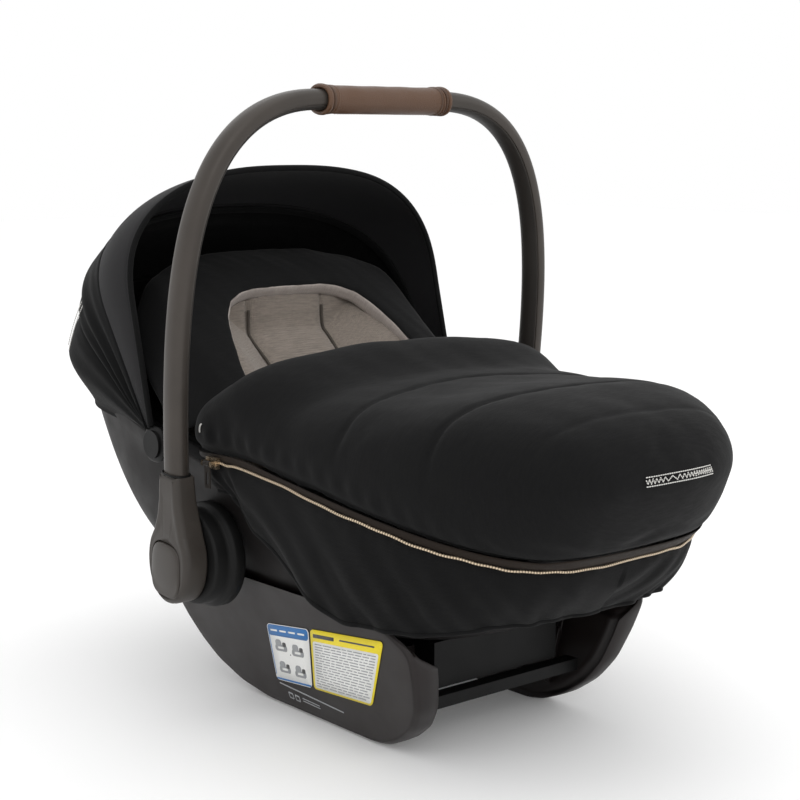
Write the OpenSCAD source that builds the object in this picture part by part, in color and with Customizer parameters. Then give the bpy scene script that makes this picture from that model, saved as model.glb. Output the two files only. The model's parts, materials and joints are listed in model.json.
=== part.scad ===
// Infant car seat: a carrier shell on two rockers, a swing handle, a folding canopy
// and a zipped leg cover. X is the width, the foot end is -Y, Z is up, floor at 0.

/* [Shell] */
// Width across the shell rim
shell_w = 344; // [336:1:346]
// Rim of the head end, behind the handle axis
shell_head = 304; // [290:1:305]
// Rim of the foot end, ahead of the handle axis
shell_foot = 318; // [300:1:320]
// Underside of the shell above the floor
shell_floor = 96; // [92:1:100]
// Wall of the moulded shell
shell_wall = 4.5; // [3:0.5:6]

/* [Base] */
// Half width over the bottom of the rockers
rocker_foot_x = 105; // [100:1:110]
// Half width over the top of the rockers
rocker_top_x = 150; // [146:1:152]
// Side of the square bar between the rockers
cross_bar_h = 11; // [8:1:14]

/* [Handle] */
// Height of the handle axis above the floor
hub_z = 153.5; // [150:0.5:156]
// Height of the grip above the handle axis
handle_h = 408; // [400:1:412]
// Half width of the arch at its feet
arch_foot_x = 206; // [204:1:210]
// Tube size across the seat
tube_x = 18.5; // [18:1:22]
// Tube size along the seat
tube_y = 25.5; // [24:1:30]
// Half length of the leather grip
grip_half = 73; // [60:1:76]
// Lean of the arch toward the foot end, in degrees
arch_lean = 5; // [3:0.5:6]
// Radius of the handle hubs
hub_r = 39.5; // [38:0.5:41]

/* [Canopy] */
// Canopy hinge behind the handle axis
canopy_y = 70; // [68:1:74]
// Canopy hinge above the floor
canopy_z = 246; // [244:1:250]
// Half width over the canopy
canopy_x = 186; // [184:0.5:186]
// Top of the canopy above its hinge
canopy_r = 253; // [246:1:254]
// Thickness of the canopy fabric panels
fabric_t = 3; // [2:0.5:3]

/* [Cover] */
// Half width of the leg cover at the zip
cover_x = 184; // [182:1:186]
// Front of the leg cover at the zip
cover_front = 348; // [340:1:350]
// Thickness of the padded leg cover
cover_t = 13; // [8:1:14]
// Thickness of the loose skirt below the zip
skirt_t = 5; // [3:1:6]

/* [Hidden] */

hub_y = 41.5;          // shifts the handle axis so that the whole seat is centred
gap = 0.4;             // air between pieces that don't fit one another
mid_y = -20;           // widest point of the shell
plan_head = 4.4;       // squareness of the head end seen from above
plan_foot = 3.4;       // squareness of the foot end
wall_n = 8;            // steepness of the shell walls
around = 44;           // points round each shell ring
axle_r = 9;
hinge_r = 6;
run = 0.05;            // radial clearance of a running fit

// ---- shared rules ----

function ramp(v, a, b) = let (t = max(0, min(1, (v - a) / (b - a)))) t * t * (3 - 2 * t);
function curve(c, n) = sign(c) * pow(abs(c), 2 / n);
function total(list, i = 0) = i == len(list) - 1 ? list[i] : list[i] + total(list, i + 1);
function mean(list) = total(list) / len(list);

module placed() translate([0, hub_y, 0]) children();

// a closed skin over a list of rings that all hold the same number of points; cap lists
// the triangles that close a hollow-sided end, where a fan from the middle would fold
module rings_solid(rings, flip = false, cap = []) {
    n = len(rings[0]);
    m = len(rings);
    pts = concat([for (r = rings) each r], cap == [] ? [mean(rings[0]), mean(rings[m - 1])] : []);
    tri = concat(
        [for (i = [0:m - 2], j = [0:n - 1]) let (a = i * n + j, b = i * n + (j + 1) % n)
            [a, a + n, b + n]],
        [for (i = [0:m - 2], j = [0:n - 1]) let (a = i * n + j, b = i * n + (j + 1) % n)
            [a, b + n, b]],
        cap != [] ? [for (c = cap) [c[0], c[1], c[2]]]
            : [for (j = [0:n - 1]) [m * n, j, (j + 1) % n]],
        cap != [] ? [for (c = cap) (m - 1) * n * [1, 1, 1] + [c[0], c[2], c[1]]]
            : [for (j = [0:n - 1]) [m * n + 1, (m - 1) * n + (j + 1) % n, (m - 1) * n + j]]);
    polyhedron(points = pts, faces = flip ? [for (f = tri) [f[0], f[2], f[1]]] : tri,
        convexity = 8);
}

// ---- shell, liner and pad: one bucket rule ----

function rim_z(y) = 195 + 40 * ramp(y, -330, -60) + 15 * ramp(y, -20, 80)
    + 54 * ramp(y, 60, 290);
function under_z(y) = shell_floor + 0.0012 * pow(max(0, y - 40), 2)
    + 0.0006 * pow(max(0, -170 - y), 2);
function seat_z(y) = let (t = y + 40) 126 + 0.29 * (t + sqrt(t * t + 3600));

// one ring of a bucket: off shrinks the plan, s scales it, and sink is the depth under
// the padded seat, or undef where the ring follows the underside of the shell
function bucket_ring(off, s, sink, drop) = [for (k = [0:around - 1])
    let (a = 360 * k / around, n = sin(a) > 0 ? plan_head : plan_foot, c = curve(cos(a), n), d = curve(sin(a), n),
        half = shell_w / 2 - off,
        reach = d > 0 ? shell_head - mid_y - off : shell_foot + mid_y - off,
        y = mid_y + s * reach * d, bottom = is_undef(sink) ? under_z(y) + off : seat_z(y) - sink)
    [s * half * c, y, bottom + (rim_z(y) - drop - bottom) * pow(s, wall_n)]];

wall_steps = [0.3, 0.55, 0.7, 0.8, 0.88, 0.94, 0.98, 1];

module bucket(off_out, sink_out, off_in, sink_in, drop)
    rings_solid(concat([for (s = wall_steps) bucket_ring(off_out, s, sink_out, drop)],
        [for (i = [len(wall_steps) - 1:-1:0])
            bucket_ring(off_in, wall_steps[i], sink_in, drop)]));

module shell() placed() color("#2b2728") bucket(0, undef, shell_wall, undef, 0);
module foam_liner() placed() color("#d9d8d4")
    bucket(shell_wall + 1, undef, 17, 14.6, 0.5);
module seat_pad() placed() color("#776c63") bucket(19.2, 12.6, 30, 0, 0.5);

// height of the padded seat under the harness
function on_seat(x, y) = let (h = shell_w / 2 - 30,
    reach = y > mid_y ? shell_head - mid_y - 30 : shell_foot + mid_y - 30,
    n = y > mid_y ? plan_head : plan_foot,
    s = pow(pow(abs(x) / h, n) + pow(abs(y - mid_y) / reach, n), 1 / n))
    seat_z(y) + (rim_z(y) - 0.5 - seat_z(y)) * pow(s, wall_n);

// the padded insert behind the face window: up runs from the seat to its own top
function insert_top(y) = 284 + 62 * ramp(y, 70, 190);
function head_ring(grow, up) = [for (k = [0:around - 1])
    let (a = 360 * k / around, x = grow * 100 * curve(cos(a), 3),
        y = 142 + grow * 78 * curve(sin(a), 3), low = on_seat(x, y) + 2)
        [x, y, low + up * (insert_top(y) - low)]];
module head_pad() placed() color("#8a7f75") rings_solid([
    head_ring(0.3, 0), head_ring(0.7, 0), head_ring(1, 0), head_ring(1.02, 0.4),
    head_ring(1, 0.75), head_ring(0.92, 0.92), head_ring(0.7, 0.99), head_ring(0.3, 1)]);

// ---- harness ----

strap_w = 26;
strap_t = 2.4;
strap_lift = 6.4;      // the straps lie this far over the bare rule of the seat

function flat_section(x, y, z, w, t) =
    [[x - w / 2, y, z], [x + w / 2, y, z], [x + w / 2, y, z + t], [x - w / 2, y, z + t]];
module strap(side) placed() color("#1d1d1f") rings_solid([for (i = [0:12])
    let (f = i / 12, y = 60 - 150 * f, x = side * (42 - 18 * f * f))
    flat_section(x, y, on_seat(x, y) + strap_lift, strap_w, strap_t)]);
module left_strap() strap(-1);
module right_strap() strap(1);
module crotch_strap() placed() color("#1d1d1f")
    translate([-14, -158, on_seat(0, -150) + 2]) cube([28, 32, strap_t]);
module chest_clip() placed() color("#242326") translate([0, 18, on_seat(30, 18) + 12])
    rotate([30, 0, 0]) translate([-38, -14, 0]) difference() {
        cube([76, 28, 9]);
        translate([36.5, -1, 6]) cube([3, 30, 4]);
    }

buckle_z = 152;
module buckle() placed() color("#2b2a2d") translate([0, -118, buckle_z]) difference() {
    linear_extrude(18) union() {
        translate([-24, -22]) square([48, 40]);
        for (s = [-1, 1]) translate([s * 18, 18]) circle(r = 6, $fn = 32);
        translate([-18, 10]) square([36, 14]);
    }
    translate([-11.5, -16.5, 8]) cube([23, 19, 12]);
}
module buckle_button() placed() color("#c4332b")
    translate([-11, -134, buckle_z + 12]) cube([22, 18, 7]);

// ---- base ----

rocker_side = [[122, 126], [122, 92], [112, 66], [98, 42], [80, 24], [44, 9], [10, 0],
    [-152, 0], [-168, 3], [-192, 13], [-216, 31], [-232, 52], [-242, 90], [-245, 108],
    [-232, 121], [-196, 140], [122, 140]];
// upright cut of a rocker: outer face, top edge under the shell, inner face
rocker_cut = [[rocker_foot_x, 0], [rocker_top_x, 128], [rocker_top_x + 1, 134],
    [rocker_top_x - 10, 116], [rocker_top_x - 20, 104], [rocker_top_x - 42, 92],
    [rocker_foot_x - 22, 0]];

module rocker(side) placed() color("#302a2a") intersection() {
    translate([side > 0 ? 60 : -170, 0, 0]) rotate([90, 0, 90]) linear_extrude(110)
        polygon(rocker_side);
    translate([0, 130, 0]) rotate([90, 0, 0]) linear_extrude(400)
        polygon([for (p = rocker_cut) [side * p[0], p[1]]]);
}
module left_rocker() rocker(-1);
module right_rocker() rocker(1);

module front_cross_bar() placed() color("#262324")
    translate([0, -198, 45]) rotate([0, 90, 0]) cube([cross_bar_h, 14, 187.4], center = true);

belly_top = shell_floor - gap;
pan_x = 74;            // half width of the pan under the shell
module belly_pan() placed() color("#211f20") difference() {
    translate([-pan_x, -196, 54]) cube([2 * pan_x, 286, belly_top - 54]);
    // hook channels along the pan and the space behind the release lever
    translate([-50, -180, 53]) cube([100, 70, 22]);
    translate([-12.5, -112, 53]) cube([25, 180, 20]);
    translate([-46, 66, 53]) cube([92, 26, 30]);
    for (y = [-130, 20]) translate([-64, y, 62]) rotate([0, 90, 0])
        cylinder(r = 5.05, h = 128, $fn = 32);
}
// three rails on each side carry the pan between the rockers
module pan_rails() placed() color("#262324") for (s = [-1, 1], y = [-170, -60, 50])
    translate([s > 0 ? pan_x : -102, y, 78]) cube([102 - pan_x, 26, 10]);
module front_latch_pin() placed() color("#9a9a9c") translate([-62, -130, 62])
    rotate([0, 90, 0]) cylinder(r = 5, h = 124, $fn = 32);
module rear_latch_pin() placed() color("#9a9a9c") translate([-62, 20, 62])
    rotate([0, 90, 0]) cylinder(r = 5, h = 124, $fn = 32);
module latch_hook() placed() color("#8d8d90") difference() {
    translate([-12, -100, 55]) cube([24, 100, 14]);
    translate([-13, -60, 54]) cube([26, 16, 6]);
}
module release_lever() placed() color("#3a3537") difference() {
    translate([-44, 76, 50]) cube([88, 14, 24]);
    translate([-36, 84, 54]) cube([72, 8, 14]);
}

slope = atan((rocker_top_x - rocker_foot_x) / 128);
label_t = 0.6;
// a film on the left rocker, with its corners as y and height
module label(corners) placed() translate([-rocker_foot_x - 0.2, 0, 0])
    rotate([0, -slope, 0]) translate([-label_t, 0, 0]) rotate([90, 0, 90])
        linear_extrude(label_t) polygon([for (c = corners) [c[0], c[1] / cos(slope)]]);
module blue_label() color("#e9edf2") label([[-36, 90], [-104, 100], [-79, 35], [-22, 29]]);
module yellow_label() color("#f3efe0")
    label([[-107, 101], [-214, 115], [-168, 42], [-82, 35.5]]);

// ---- handle ----

module mirrored(side) { if (side > 0) children(); else mirror([1, 0, 0]) children(); }

module hub_base(side) placed() color("#1c1a1b") mirrored(side) translate([166, 0, hub_z])
    rotate([0, 90, 0]) difference() {
        union() {
            cylinder(r = 43, h = 29.4, $fn = 96);
            translate([0, 0, 0]) cylinder(r = 48, h = 12, $fn = 96);
        }
        translate([0, 0, -1]) cylinder(r = axle_r, h = 40, $fn = 64);
    }
module left_hub_base() hub_base(-1);
module right_hub_base() hub_base(1);

module axle(side) placed() color("#a9a9ab") mirrored(side)
    translate([168, 0, hub_z]) rotate([0, 90, 0]) cylinder(r = axle_r, h = 44, $fn = 64);
module left_axle() axle(-1);
module right_axle() axle(1);

hub_in = 196;
hub_half = 32;         // half width of the upright oval hub
hub_out = 221;
neck_z = 78.5;         // top of the hub neck above the axis
module leaned() translate([0, 0, hub_z]) rotate([arch_lean, 0, 0]) children();

module hub(side) placed() color("#46403e") mirrored(side) leaned() difference() {
    union() {
        translate([hub_in, 0, 0]) scale([1, hub_half / hub_r, 1]) rotate([0, 90, 0])
            cylinder(r = hub_r, h = hub_out - hub_in, $fn = 96);
        translate([hub_in + 2, 0, 0]) rotate([90, 0, 90])
            linear_extrude(hub_out - hub_in - 2)
                polygon([[-26.5, 20], [26.5, 20], [18.5, 42], [14.4, 60], [13.5, neck_z],
                    [-13.5, neck_z], [-14.4, 60], [-18.5, 42]]);
    }
    translate([hub_in - 1, 0, 0]) rotate([0, 90, 0])
        cylinder(r = axle_r + run, h = 18, $fn = 64);
    translate([hub_out - 8, 0, 0]) rotate([90, 0, 90]) linear_extrude(10) button_face(0.4);
}
module button_face(grow) {
    half = 18 + grow;
    union() {
        translate([-half, -24 - grow]) square([2 * half, 42 + 2 * grow]);
        translate([0, -8]) scale([(23 + grow) / (27 + grow), 1]) circle(r = 27 + grow, $fn = 64);
    }
}
module left_hub() hub(-1);
module right_hub() hub(1);
module button(side) placed() color("#3b3634") mirrored(side) leaned()
    translate([hub_out - 4, 0, 0]) rotate([90, 0, 90]) linear_extrude(6) button_face(0);
module left_button() button(-1);
module right_button() button(1);

// centreline of one arm: a cubic curve from the hub to the end of the grip
arm = [[arch_foot_x, 0], [arch_foot_x + 12, 180], [arch_foot_x + 37, handle_h],
    [grip_half + 1, handle_h]];
function cubic(p, t) = pow(1 - t, 3) * p[0] + 3 * t * pow(1 - t, 2) * p[1]
    + 3 * t * t * (1 - t) * p[2] + t * t * t * p[3];
function cubic_way(p, t) = pow(1 - t, 2) * (p[1] - p[0]) + 2 * t * (1 - t) * (p[2] - p[1])
    + t * t * (p[3] - p[2]);
arm_start = 0.143;    // share of the curve hidden in the hub neck
arm_rings = 22;
tube_sides = 16;
// one oval section of the tube, square to the way it runs
function tube_section(p, way, half_in, half_y) = let (w = way / norm(way))
    [for (k = [0:tube_sides - 1]) let (a = 360 * k / tube_sides)
        [p[0] + half_in * cos(a) * w[1], half_y * sin(a), p[1] - half_in * cos(a) * w[0]]];
function arm_part(side, n) = [for (i = [0:n]) let (t = arm_start + (1 - arm_start) * i / n,
    p = cubic(arm, t), w = cubic_way(arm, t))
    tube_section([side * p[0], p[1]], [side * w[0], w[1]], side * tube_x / 2, tube_y / 2)];
module handle_tube() placed() color("#5a5350") leaned() {
    right = arm_part(1, arm_rings);
    left = arm_part(-1, arm_rings);
    rings_solid(concat(right, [for (i = [arm_rings:-1:0]) left[i]]));
}

module oval(hx, hy) polygon([for (k = [0:31]) [hx * cos(k * 11.25), hy * sin(k * 11.25)]]);
module sleeve(x0, x1, inner, outer) placed() leaned() translate([x0, 0, handle_h])
    rotate([0, 90, 0]) linear_extrude(x1 - x0) difference() {
        oval(tube_x / 2 + outer, tube_y / 2 + outer);
        oval(tube_x / 2 + inner, tube_y / 2 + inner);
    }
module grip_wrap() color("#7a5238") sleeve(-grip_half + 8, grip_half - 8, 0.3, 3.2);
module grip_left_collar() color("#6d4830") sleeve(-grip_half, -grip_half + 7.8, 0.3, 4);
module grip_right_collar() color("#6d4830") sleeve(grip_half - 7.8, grip_half, 0.3, 4);

// ---- canopy ----

// outline of the canopy arch as [distance from the hinge line, x]
straight_r = 134;
arch_pts = 14;
function arch_side(o, r0) = concat([[r0, canopy_x + o], [straight_r, canopy_x + o]],
    [for (i = [1:arch_pts - 1]) let (a = 90 * i / arch_pts)
        [straight_r + (canopy_r - straight_r + o) * curve(sin(a), 2.6),
            (canopy_x + o) * curve(cos(a), 2.6)]], [[canopy_r + o, 0]]);
function arch_line(o, r0) = let (s = arch_side(o, r0), n = len(s))
    concat(s, [for (i = [n - 2:-1:0]) [s[i][0], -s[i][1]]]);
function backward(list) = [for (i = [len(list) - 1:-1:0]) list[i]];

module turned(from, to) placed() translate([0, canopy_y, canopy_z]) rotate([0, -90, 0])
    rotate([0, 0, from]) rotate_extrude(angle = to - from, $fn = 96) children();
module canopy_panel(from, to, o, t, r0)
    turned(from, to) polygon(concat(arch_line(o, r0), backward(arch_line(o - t, r0))));

step = fabric_t + 0.6;
module hinge_eye(o, from, to) {
    placed() for (s = [-1, 1]) translate([s > 0 ? canopy_x + o - 3 : -canopy_x - o,
        canopy_y, canopy_z]) rotate([0, 90, 0]) difference() {
            cylinder(r = 18, h = 3, $fn = 64);
            translate([0, 0, -1]) cylinder(r = hinge_r + run, h = 5, $fn = 64);
        }
    // a tongue, a little inside the faces of the eye and the bow, joins the two
    for (s = [-1, 1]) turned(from + 0.4, to - 0.4)
        translate([15, s > 0 ? canopy_x + o - 2.6 : -canopy_x - o + 0.4]) square([12, 2.2]);
}
module front_bow() color("#2a2a2c") union() {
    canopy_panel(8, 11, 0, 6, 24);
    hinge_eye(0, 8, 11);
}
module canopy_front() color("#3b3b3e") canopy_panel(11.3, 33, 0, fabric_t, 20);
module mid_bow() color("#2a2a2c") union() {
    canopy_panel(32, 35, -step, 3, 24);
    hinge_eye(-step, 32, 35);
}
module canopy_mid() color("#19191a") canopy_panel(35.3, 56, -step, fabric_t, 20);
module canopy_rear() color("#141415") canopy_panel(54, 74, -2 * step, fabric_t, 20);

module canopy_mount(side) placed() color("#242224") mirrored(side)
    translate([0, canopy_y, canopy_z]) rotate([0, 90, 0]) union() {
        translate([0, 0, 172.6]) cylinder(r = 17, h = 6, $fn = 64);
        translate([0, 0, 172.6]) cylinder(r = hinge_r, h = 17, $fn = 64);
        translate([0, 0, canopy_x + 0.5]) cylinder(r = 13, h = 3.5, $fn = 64);
    }
module left_canopy_mount() canopy_mount(-1);
module right_canopy_mount() canopy_mount(1);

// ---- leg cover ----

cover_n = 2.9;
cover_mid = -60;
cover_back = 78;
function zip_z(y) = 245 - 57 * pow(max(0, min(1, (-60 - y) / 285)), 1.5);
function crest_z(y) = 312 + 24 * ramp(y, -130, -45) + 12 * ramp(-y, 180, 300)
    - 26 * ramp(y, -30, 18);
// lower edge of the cover: the zip at the sides and foot, raised over the child's chest
function edge_z(x, y) = zip_z(y) + 46 * ramp(y, -40, 10) * ramp(172 - abs(x), 0, 40);
// one ring of the cover: half width, reach to the front, share of the way up
function cover_ring(half, reach, h) = [for (k = [0:around - 1])
    let (a = 360 * k / around, n = sin(a) > 0 ? 7 : cover_n,
        x = half * curve(cos(a), n),
        y = cover_mid + (sin(a) > 0 ? min(cover_back, reach) : reach - 60) * curve(sin(a), n),
        low = edge_z(x, y)) [x, y, low + h * (crest_z(y) - low)]];
cover_levels = [[cover_x, cover_front, 0], [187, 372, 0.18], [188, 391.5, 0.42],
    [184, 391, 0.6], [171, 377, 0.76], [146, 346, 0.87], [112, 298, 0.935],
    [72, 232, 0.975], [34, 160, 0.998], [1, 110, 1]];
back_in = 0.84;        // the inside of the back wall, as a share of the way out from cover_mid
// an open-bottomed dome: down the outside from the crest to the zip, and up the inside
module cover_boot() placed() color("#101011") {
    t = cover_t;
    rings_solid(concat(
        [for (i = [len(cover_levels) - 1:-1:0]) let (l = cover_levels[i])
            cover_ring(l[0], l[1], l[2])],
        [for (l = cover_levels)
            [for (p = cover_ring(max(0.5, l[0] - t), l[1] - t, l[2]))
                [p[0], p[1] > cover_mid ? cover_mid + (p[1] - cover_mid) * back_in : p[1],
                    p[2] - t * l[2]]]]), flip = true);
}

// plan of the zip: f runs from -1 on the left to 1 on the right, round the foot end
function zip_at(f, out) = let (a = 270 + 90 * f,
    straight = abs(f) > 0.82 ? (abs(f) - 0.82) / 0.18 : 0,
    b = 270 + 90 * max(-1, min(1, f / 0.82)),
    x = (cover_x + out) * curve(cos(b), cover_n),
    y = cover_mid + (cover_front - 60 + out) * curve(sin(b), cover_n) + straight * 42)
    [x, y];
band_steps = 44;
// lower edge of the skirt, and how far it tucks in under the zip
function hem_z(y) = 131.5 + 6.5 * ramp(-y, 250, 310) + 56.5 * ramp(y, -190, -60)
    + 27 * ramp(y, -75, -40);
function hem_in(f) = 9 + 23 * pow(max(0, 1 - abs(f) / 0.75), 0.8);
module cover_skirt() placed() color("#0e0e0f") rings_solid([for (i = [0:band_steps])
    let (f = -1 + 2 * i / band_steps, top = zip_at(f, 0), mid = zip_at(f, 3 - hem_in(f) * 0.25),
        low = zip_at(f, -hem_in(f)), tz = zip_z(top[1]) - 0.8, lz = hem_z(low[1]),
        mz = (tz + lz) / 2, top2 = zip_at(f, -skirt_t),
        mid2 = zip_at(f, 3 - hem_in(f) * 0.25 - skirt_t), low2 = zip_at(f, -hem_in(f) - skirt_t))
    [[top[0], top[1], tz], [mid[0], mid[1], mz], [low[0], low[1], lz],
        [low2[0], low2[1], lz], [mid2[0], mid2[1], mz], [top2[0], top2[1], tz]]],
    cap = [[0, 1, 4], [0, 4, 5], [1, 2, 3], [1, 3, 4]]);

module zip_coil() placed() color("#b9a98a") rings_solid([for (i = [0:band_steps])
    let (f = -1 + 2 * i / band_steps, a = zip_at(f, 3.4), b = zip_at(f, 0.7),
        z = zip_z(a[1]) - 1)
    [[a[0], a[1], z - 2], [b[0], b[1], z - 2], [b[0], b[1], z + 2], [a[0], a[1], z + 2]]]);

slider_y = -32;
slider_z = zip_z(-60) - 1;
slider_out = cover_x + 7.6;   // outer face of the slider's body
pull_x = cover_x + 11.2;      // axis of the pull
pin_r = 1.1;
// body, two lugs and the pin that the pull hangs on
module zip_slider() placed() color("#c9c4bb") translate([0, slider_y, slider_z]) union() {
    translate([-slider_out, -8, -5]) cube([4, 16, 10]);
    for (s = [-1, 1]) translate([-pull_x - 2, s * 6.4 - 1.2, -2.2])
        cube([pull_x + 2 - slider_out + 1, 2.4, 4.4]);
    translate([-pull_x, 6, 0]) rotate([90, 0, 0]) cylinder(r = pin_r, h = 12, $fn = 32);
}
module zip_pull() placed() color("#e8e6e2") translate([-pull_x, slider_y, slider_z])
    difference() {
        union() {
            rotate([90, 0, 0]) cylinder(r = 2.6, h = 9, center = true, $fn = 48);
            translate([-0.7, -4, -22]) cube([1.4, 8, 21]);
        }
        rotate([90, 0, 0]) cylinder(r = pin_r + run, h = 12, center = true, $fn = 32);
        translate([-2, -2, -19]) cube([4, 4, 11]);
    }

// slope of the hood round the face window
hood_low = [31, 309];
hood_high = [160, 413];
hood_len = norm(hood_high - hood_low);
hood_tilt = atan2(hood_high[1] - hood_low[1], hood_high[0] - hood_low[0]);
hood_t = 12;
module cover_hood() placed() color("#131314")
    translate([0, hood_low[0], hood_low[1]]) rotate([hood_tilt, 0, 0])
        translate([0, 0, -hood_t / 2]) linear_extrude(hood_t) difference() {
            polygon([[-164, -4], [164, -4], [170, 60], [160, 120], [120, 150], [60, 164],
                [-60, 164], [-120, 150], [-160, 120], [-170, 60]]);
            polygon([[-98, -6], [98, -6], [90, 82], [74, 104], [-74, 104], [-90, 82]]);
        }

shell();
foam_liner();
seat_pad();
head_pad();
left_strap();
right_strap();
crotch_strap();
chest_clip();
buckle();
buckle_button();
left_rocker();
right_rocker();
front_cross_bar();
belly_pan();
pan_rails();
front_latch_pin();
rear_latch_pin();
release_lever();
latch_hook();
blue_label();
yellow_label();
left_hub_base();
right_hub_base();
left_axle();
right_axle();
handle_tube();
grip_wrap();
grip_left_collar();
grip_right_collar();
left_hub();
right_hub();
left_button();
right_button();
left_canopy_mount();
right_canopy_mount();
canopy_rear();
canopy_mid();
mid_bow();
canopy_front();
front_bow();
cover_boot();
cover_skirt();
cover_hood();
zip_coil();
zip_slider();
zip_pull();
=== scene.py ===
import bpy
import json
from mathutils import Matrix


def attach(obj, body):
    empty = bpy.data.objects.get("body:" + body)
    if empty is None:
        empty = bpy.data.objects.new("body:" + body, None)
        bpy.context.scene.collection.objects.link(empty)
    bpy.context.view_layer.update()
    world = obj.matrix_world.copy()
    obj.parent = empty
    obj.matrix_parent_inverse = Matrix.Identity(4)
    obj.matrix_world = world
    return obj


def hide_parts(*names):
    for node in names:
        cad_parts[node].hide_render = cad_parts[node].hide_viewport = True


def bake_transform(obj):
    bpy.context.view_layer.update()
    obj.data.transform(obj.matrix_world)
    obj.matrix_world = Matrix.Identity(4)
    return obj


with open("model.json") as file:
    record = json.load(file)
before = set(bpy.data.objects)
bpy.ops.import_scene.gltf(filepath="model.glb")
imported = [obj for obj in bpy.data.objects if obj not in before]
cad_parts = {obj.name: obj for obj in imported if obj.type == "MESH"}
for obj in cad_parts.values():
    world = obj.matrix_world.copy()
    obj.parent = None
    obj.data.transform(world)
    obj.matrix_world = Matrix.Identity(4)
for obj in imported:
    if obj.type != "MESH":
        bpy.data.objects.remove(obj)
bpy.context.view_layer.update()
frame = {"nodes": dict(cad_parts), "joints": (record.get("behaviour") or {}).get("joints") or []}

import json
import math
import bpy
import numpy as np
from mathutils import Vector

bl_info = {
    "name": "Infant Car Seat",
    "version": (1, 0, 0),
    "blender": (4, 5, 0),
    "location": "View3D > Sidebar > Car Seat",
    "description": "Carrier shell on rockers, swing handle, folding canopy and zipped leg cover",
    "category": "Object",
}

# Lengths below are in millimetres and y is counted from the handle axis; placed() turns
# them into metres in the frame's own place.
AXIS_Y = next(j for j in frame["joints"] if j["name"] == "handle_swing")["pos_m"][1]
HUB_Z = 153.5
MID_Y = -20.0            # widest point of the shell
FOLD_Y, FOLD_Z = 70.0, 246.0   # hinge of the canopy
CANOPY_X = 186.0
COVER_MID = -60.0        # widest point of the leg cover
RIM_TURN = 8             # steepness of the shell walls


# ---- shapes shared by the pieces ----

def ramp(v, a, b):
    """Smooth step from 0 at a to 1 at b."""
    t = np.clip((np.asarray(v, float) - a) / (b - a), 0, 1)
    return t * t * (3 - 2 * t)


def curve(c, n):
    """Signed power 2/n of a sine or cosine, which squares a circle off."""
    return np.sign(c) * np.abs(c) ** (2 / n)


def bump(v, centre, width):
    """Bell of height 1 at centre."""
    return np.exp(-((v - centre) / width) ** 2)


def placed(p):
    """Millimetres from the handle axis to metres in the frame."""
    return np.asarray(p, float) / 1000 + np.array([0, AXIS_Y, 0])


def stack(*parts):
    """Arrays of coordinates, spread to one shape, as points."""
    return np.stack(np.broadcast_arrays(*parts), -1).astype(float)


def unit(v):
    return v / np.maximum(np.linalg.norm(v, axis=-1, keepdims=True), 1e-9)


def through(table, q):
    """Catmull-Rom curve through the table's rows, at the row numbers q."""
    t = np.asarray(table, float)
    q = np.clip(np.asarray(q, float), 0, len(t) - 1.000001)
    i = q.astype(int)
    f = (q - i)[..., None]
    last = len(t) - 1
    a, b, c, d = (t[np.clip(i + k, 0, last)] for k in (-1, 0, 1, 2))
    return b + .5 * f * (c - a + f * (2 * a - 5 * b + 4 * c - d + f * (3 * (b - c) + d - a)))


def even_angles(shape, n, a0=0.0, a1=360.0, closed=True):
    """n angles that fall at equal steps of length along shape(angle)."""
    a = np.linspace(a0, a1, 24001)
    p = shape(np.radians(a))
    s = np.concatenate([[0], np.cumsum(np.linalg.norm(np.diff(p, axis=0), axis=1))])
    return np.radians(np.interp(np.linspace(0, s[-1], n, endpoint=not closed), s, a))


def facing(p):
    """Unit normals of a grid of points: the cross product of its two ways."""
    return unit(np.cross(np.gradient(p, axis=1), np.gradient(p, axis=0)))


def ripple(p, pitch, seed=0.0):
    """Soft uneven waves of about that pitch: four sines in turned directions."""
    x, y, z = (np.asarray(p)[..., k] / pitch * 2 * math.pi for k in range(3))
    return .25 * (np.sin(x + .7 * y + seed) + np.sin(.8 * y - .5 * z + 2.1 * seed + 1)
                  + np.sin(.6 * z + .9 * x + 1.7 * seed + 2)
                  + np.sin(.4 * x - 1.1 * y + z + 3.3 * seed))


def smoothed(p, rounds):
    """A closed outline with each point moved to the mean of its neighbours."""
    for _ in range(rounds):
        p = (np.roll(p, 1, 0) + 2 * p + np.roll(p, -1, 0)) / 4
    return p


def outline(points, n, rounds=0, start=0.0):
    """A closed outline resampled at n equal steps, then smoothed."""
    p = np.asarray(points, float)
    p = np.concatenate([p, p[:1]])
    s = np.concatenate([[0], np.cumsum(np.linalg.norm(np.diff(p, axis=0), axis=1))])
    at = (np.linspace(0, 1, n, endpoint=False) + start) % 1 * s[-1]
    return smoothed(np.stack([np.interp(at, s, p[:, k]) for k in (0, 1)], 1), rounds)


def star(points, centre, n, rounds=2):
    """An outline as seen from a centre: the distance to its edge at n equal angles."""
    c = np.asarray(centre, float)
    p = outline(points, 4000) - c
    a = np.unwrap(np.arctan2(p[:, 1], p[:, 0]))
    if a[-1] < a[0]:
        p, a = p[::-1], a[::-1]
    at = np.linspace(-math.pi, math.pi, n, endpoint=False)
    r = np.interp((at - a[0]) % (2 * math.pi) + a[0], a, np.hypot(p[:, 0], p[:, 1]),
                  period=2 * math.pi)
    ring = c + r[:, None] * np.stack([np.cos(at), np.sin(at)], 1)
    return smoothed(ring, rounds)


def inset(ring, by):
    """A closed outline moved inward along its own normals."""
    t = unit(np.roll(ring, -3, 0) - np.roll(ring, 3, 0))
    return ring - by * np.stack([t[:, 1], -t[:, 0]], 1)


# ---- meshes ----

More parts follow.
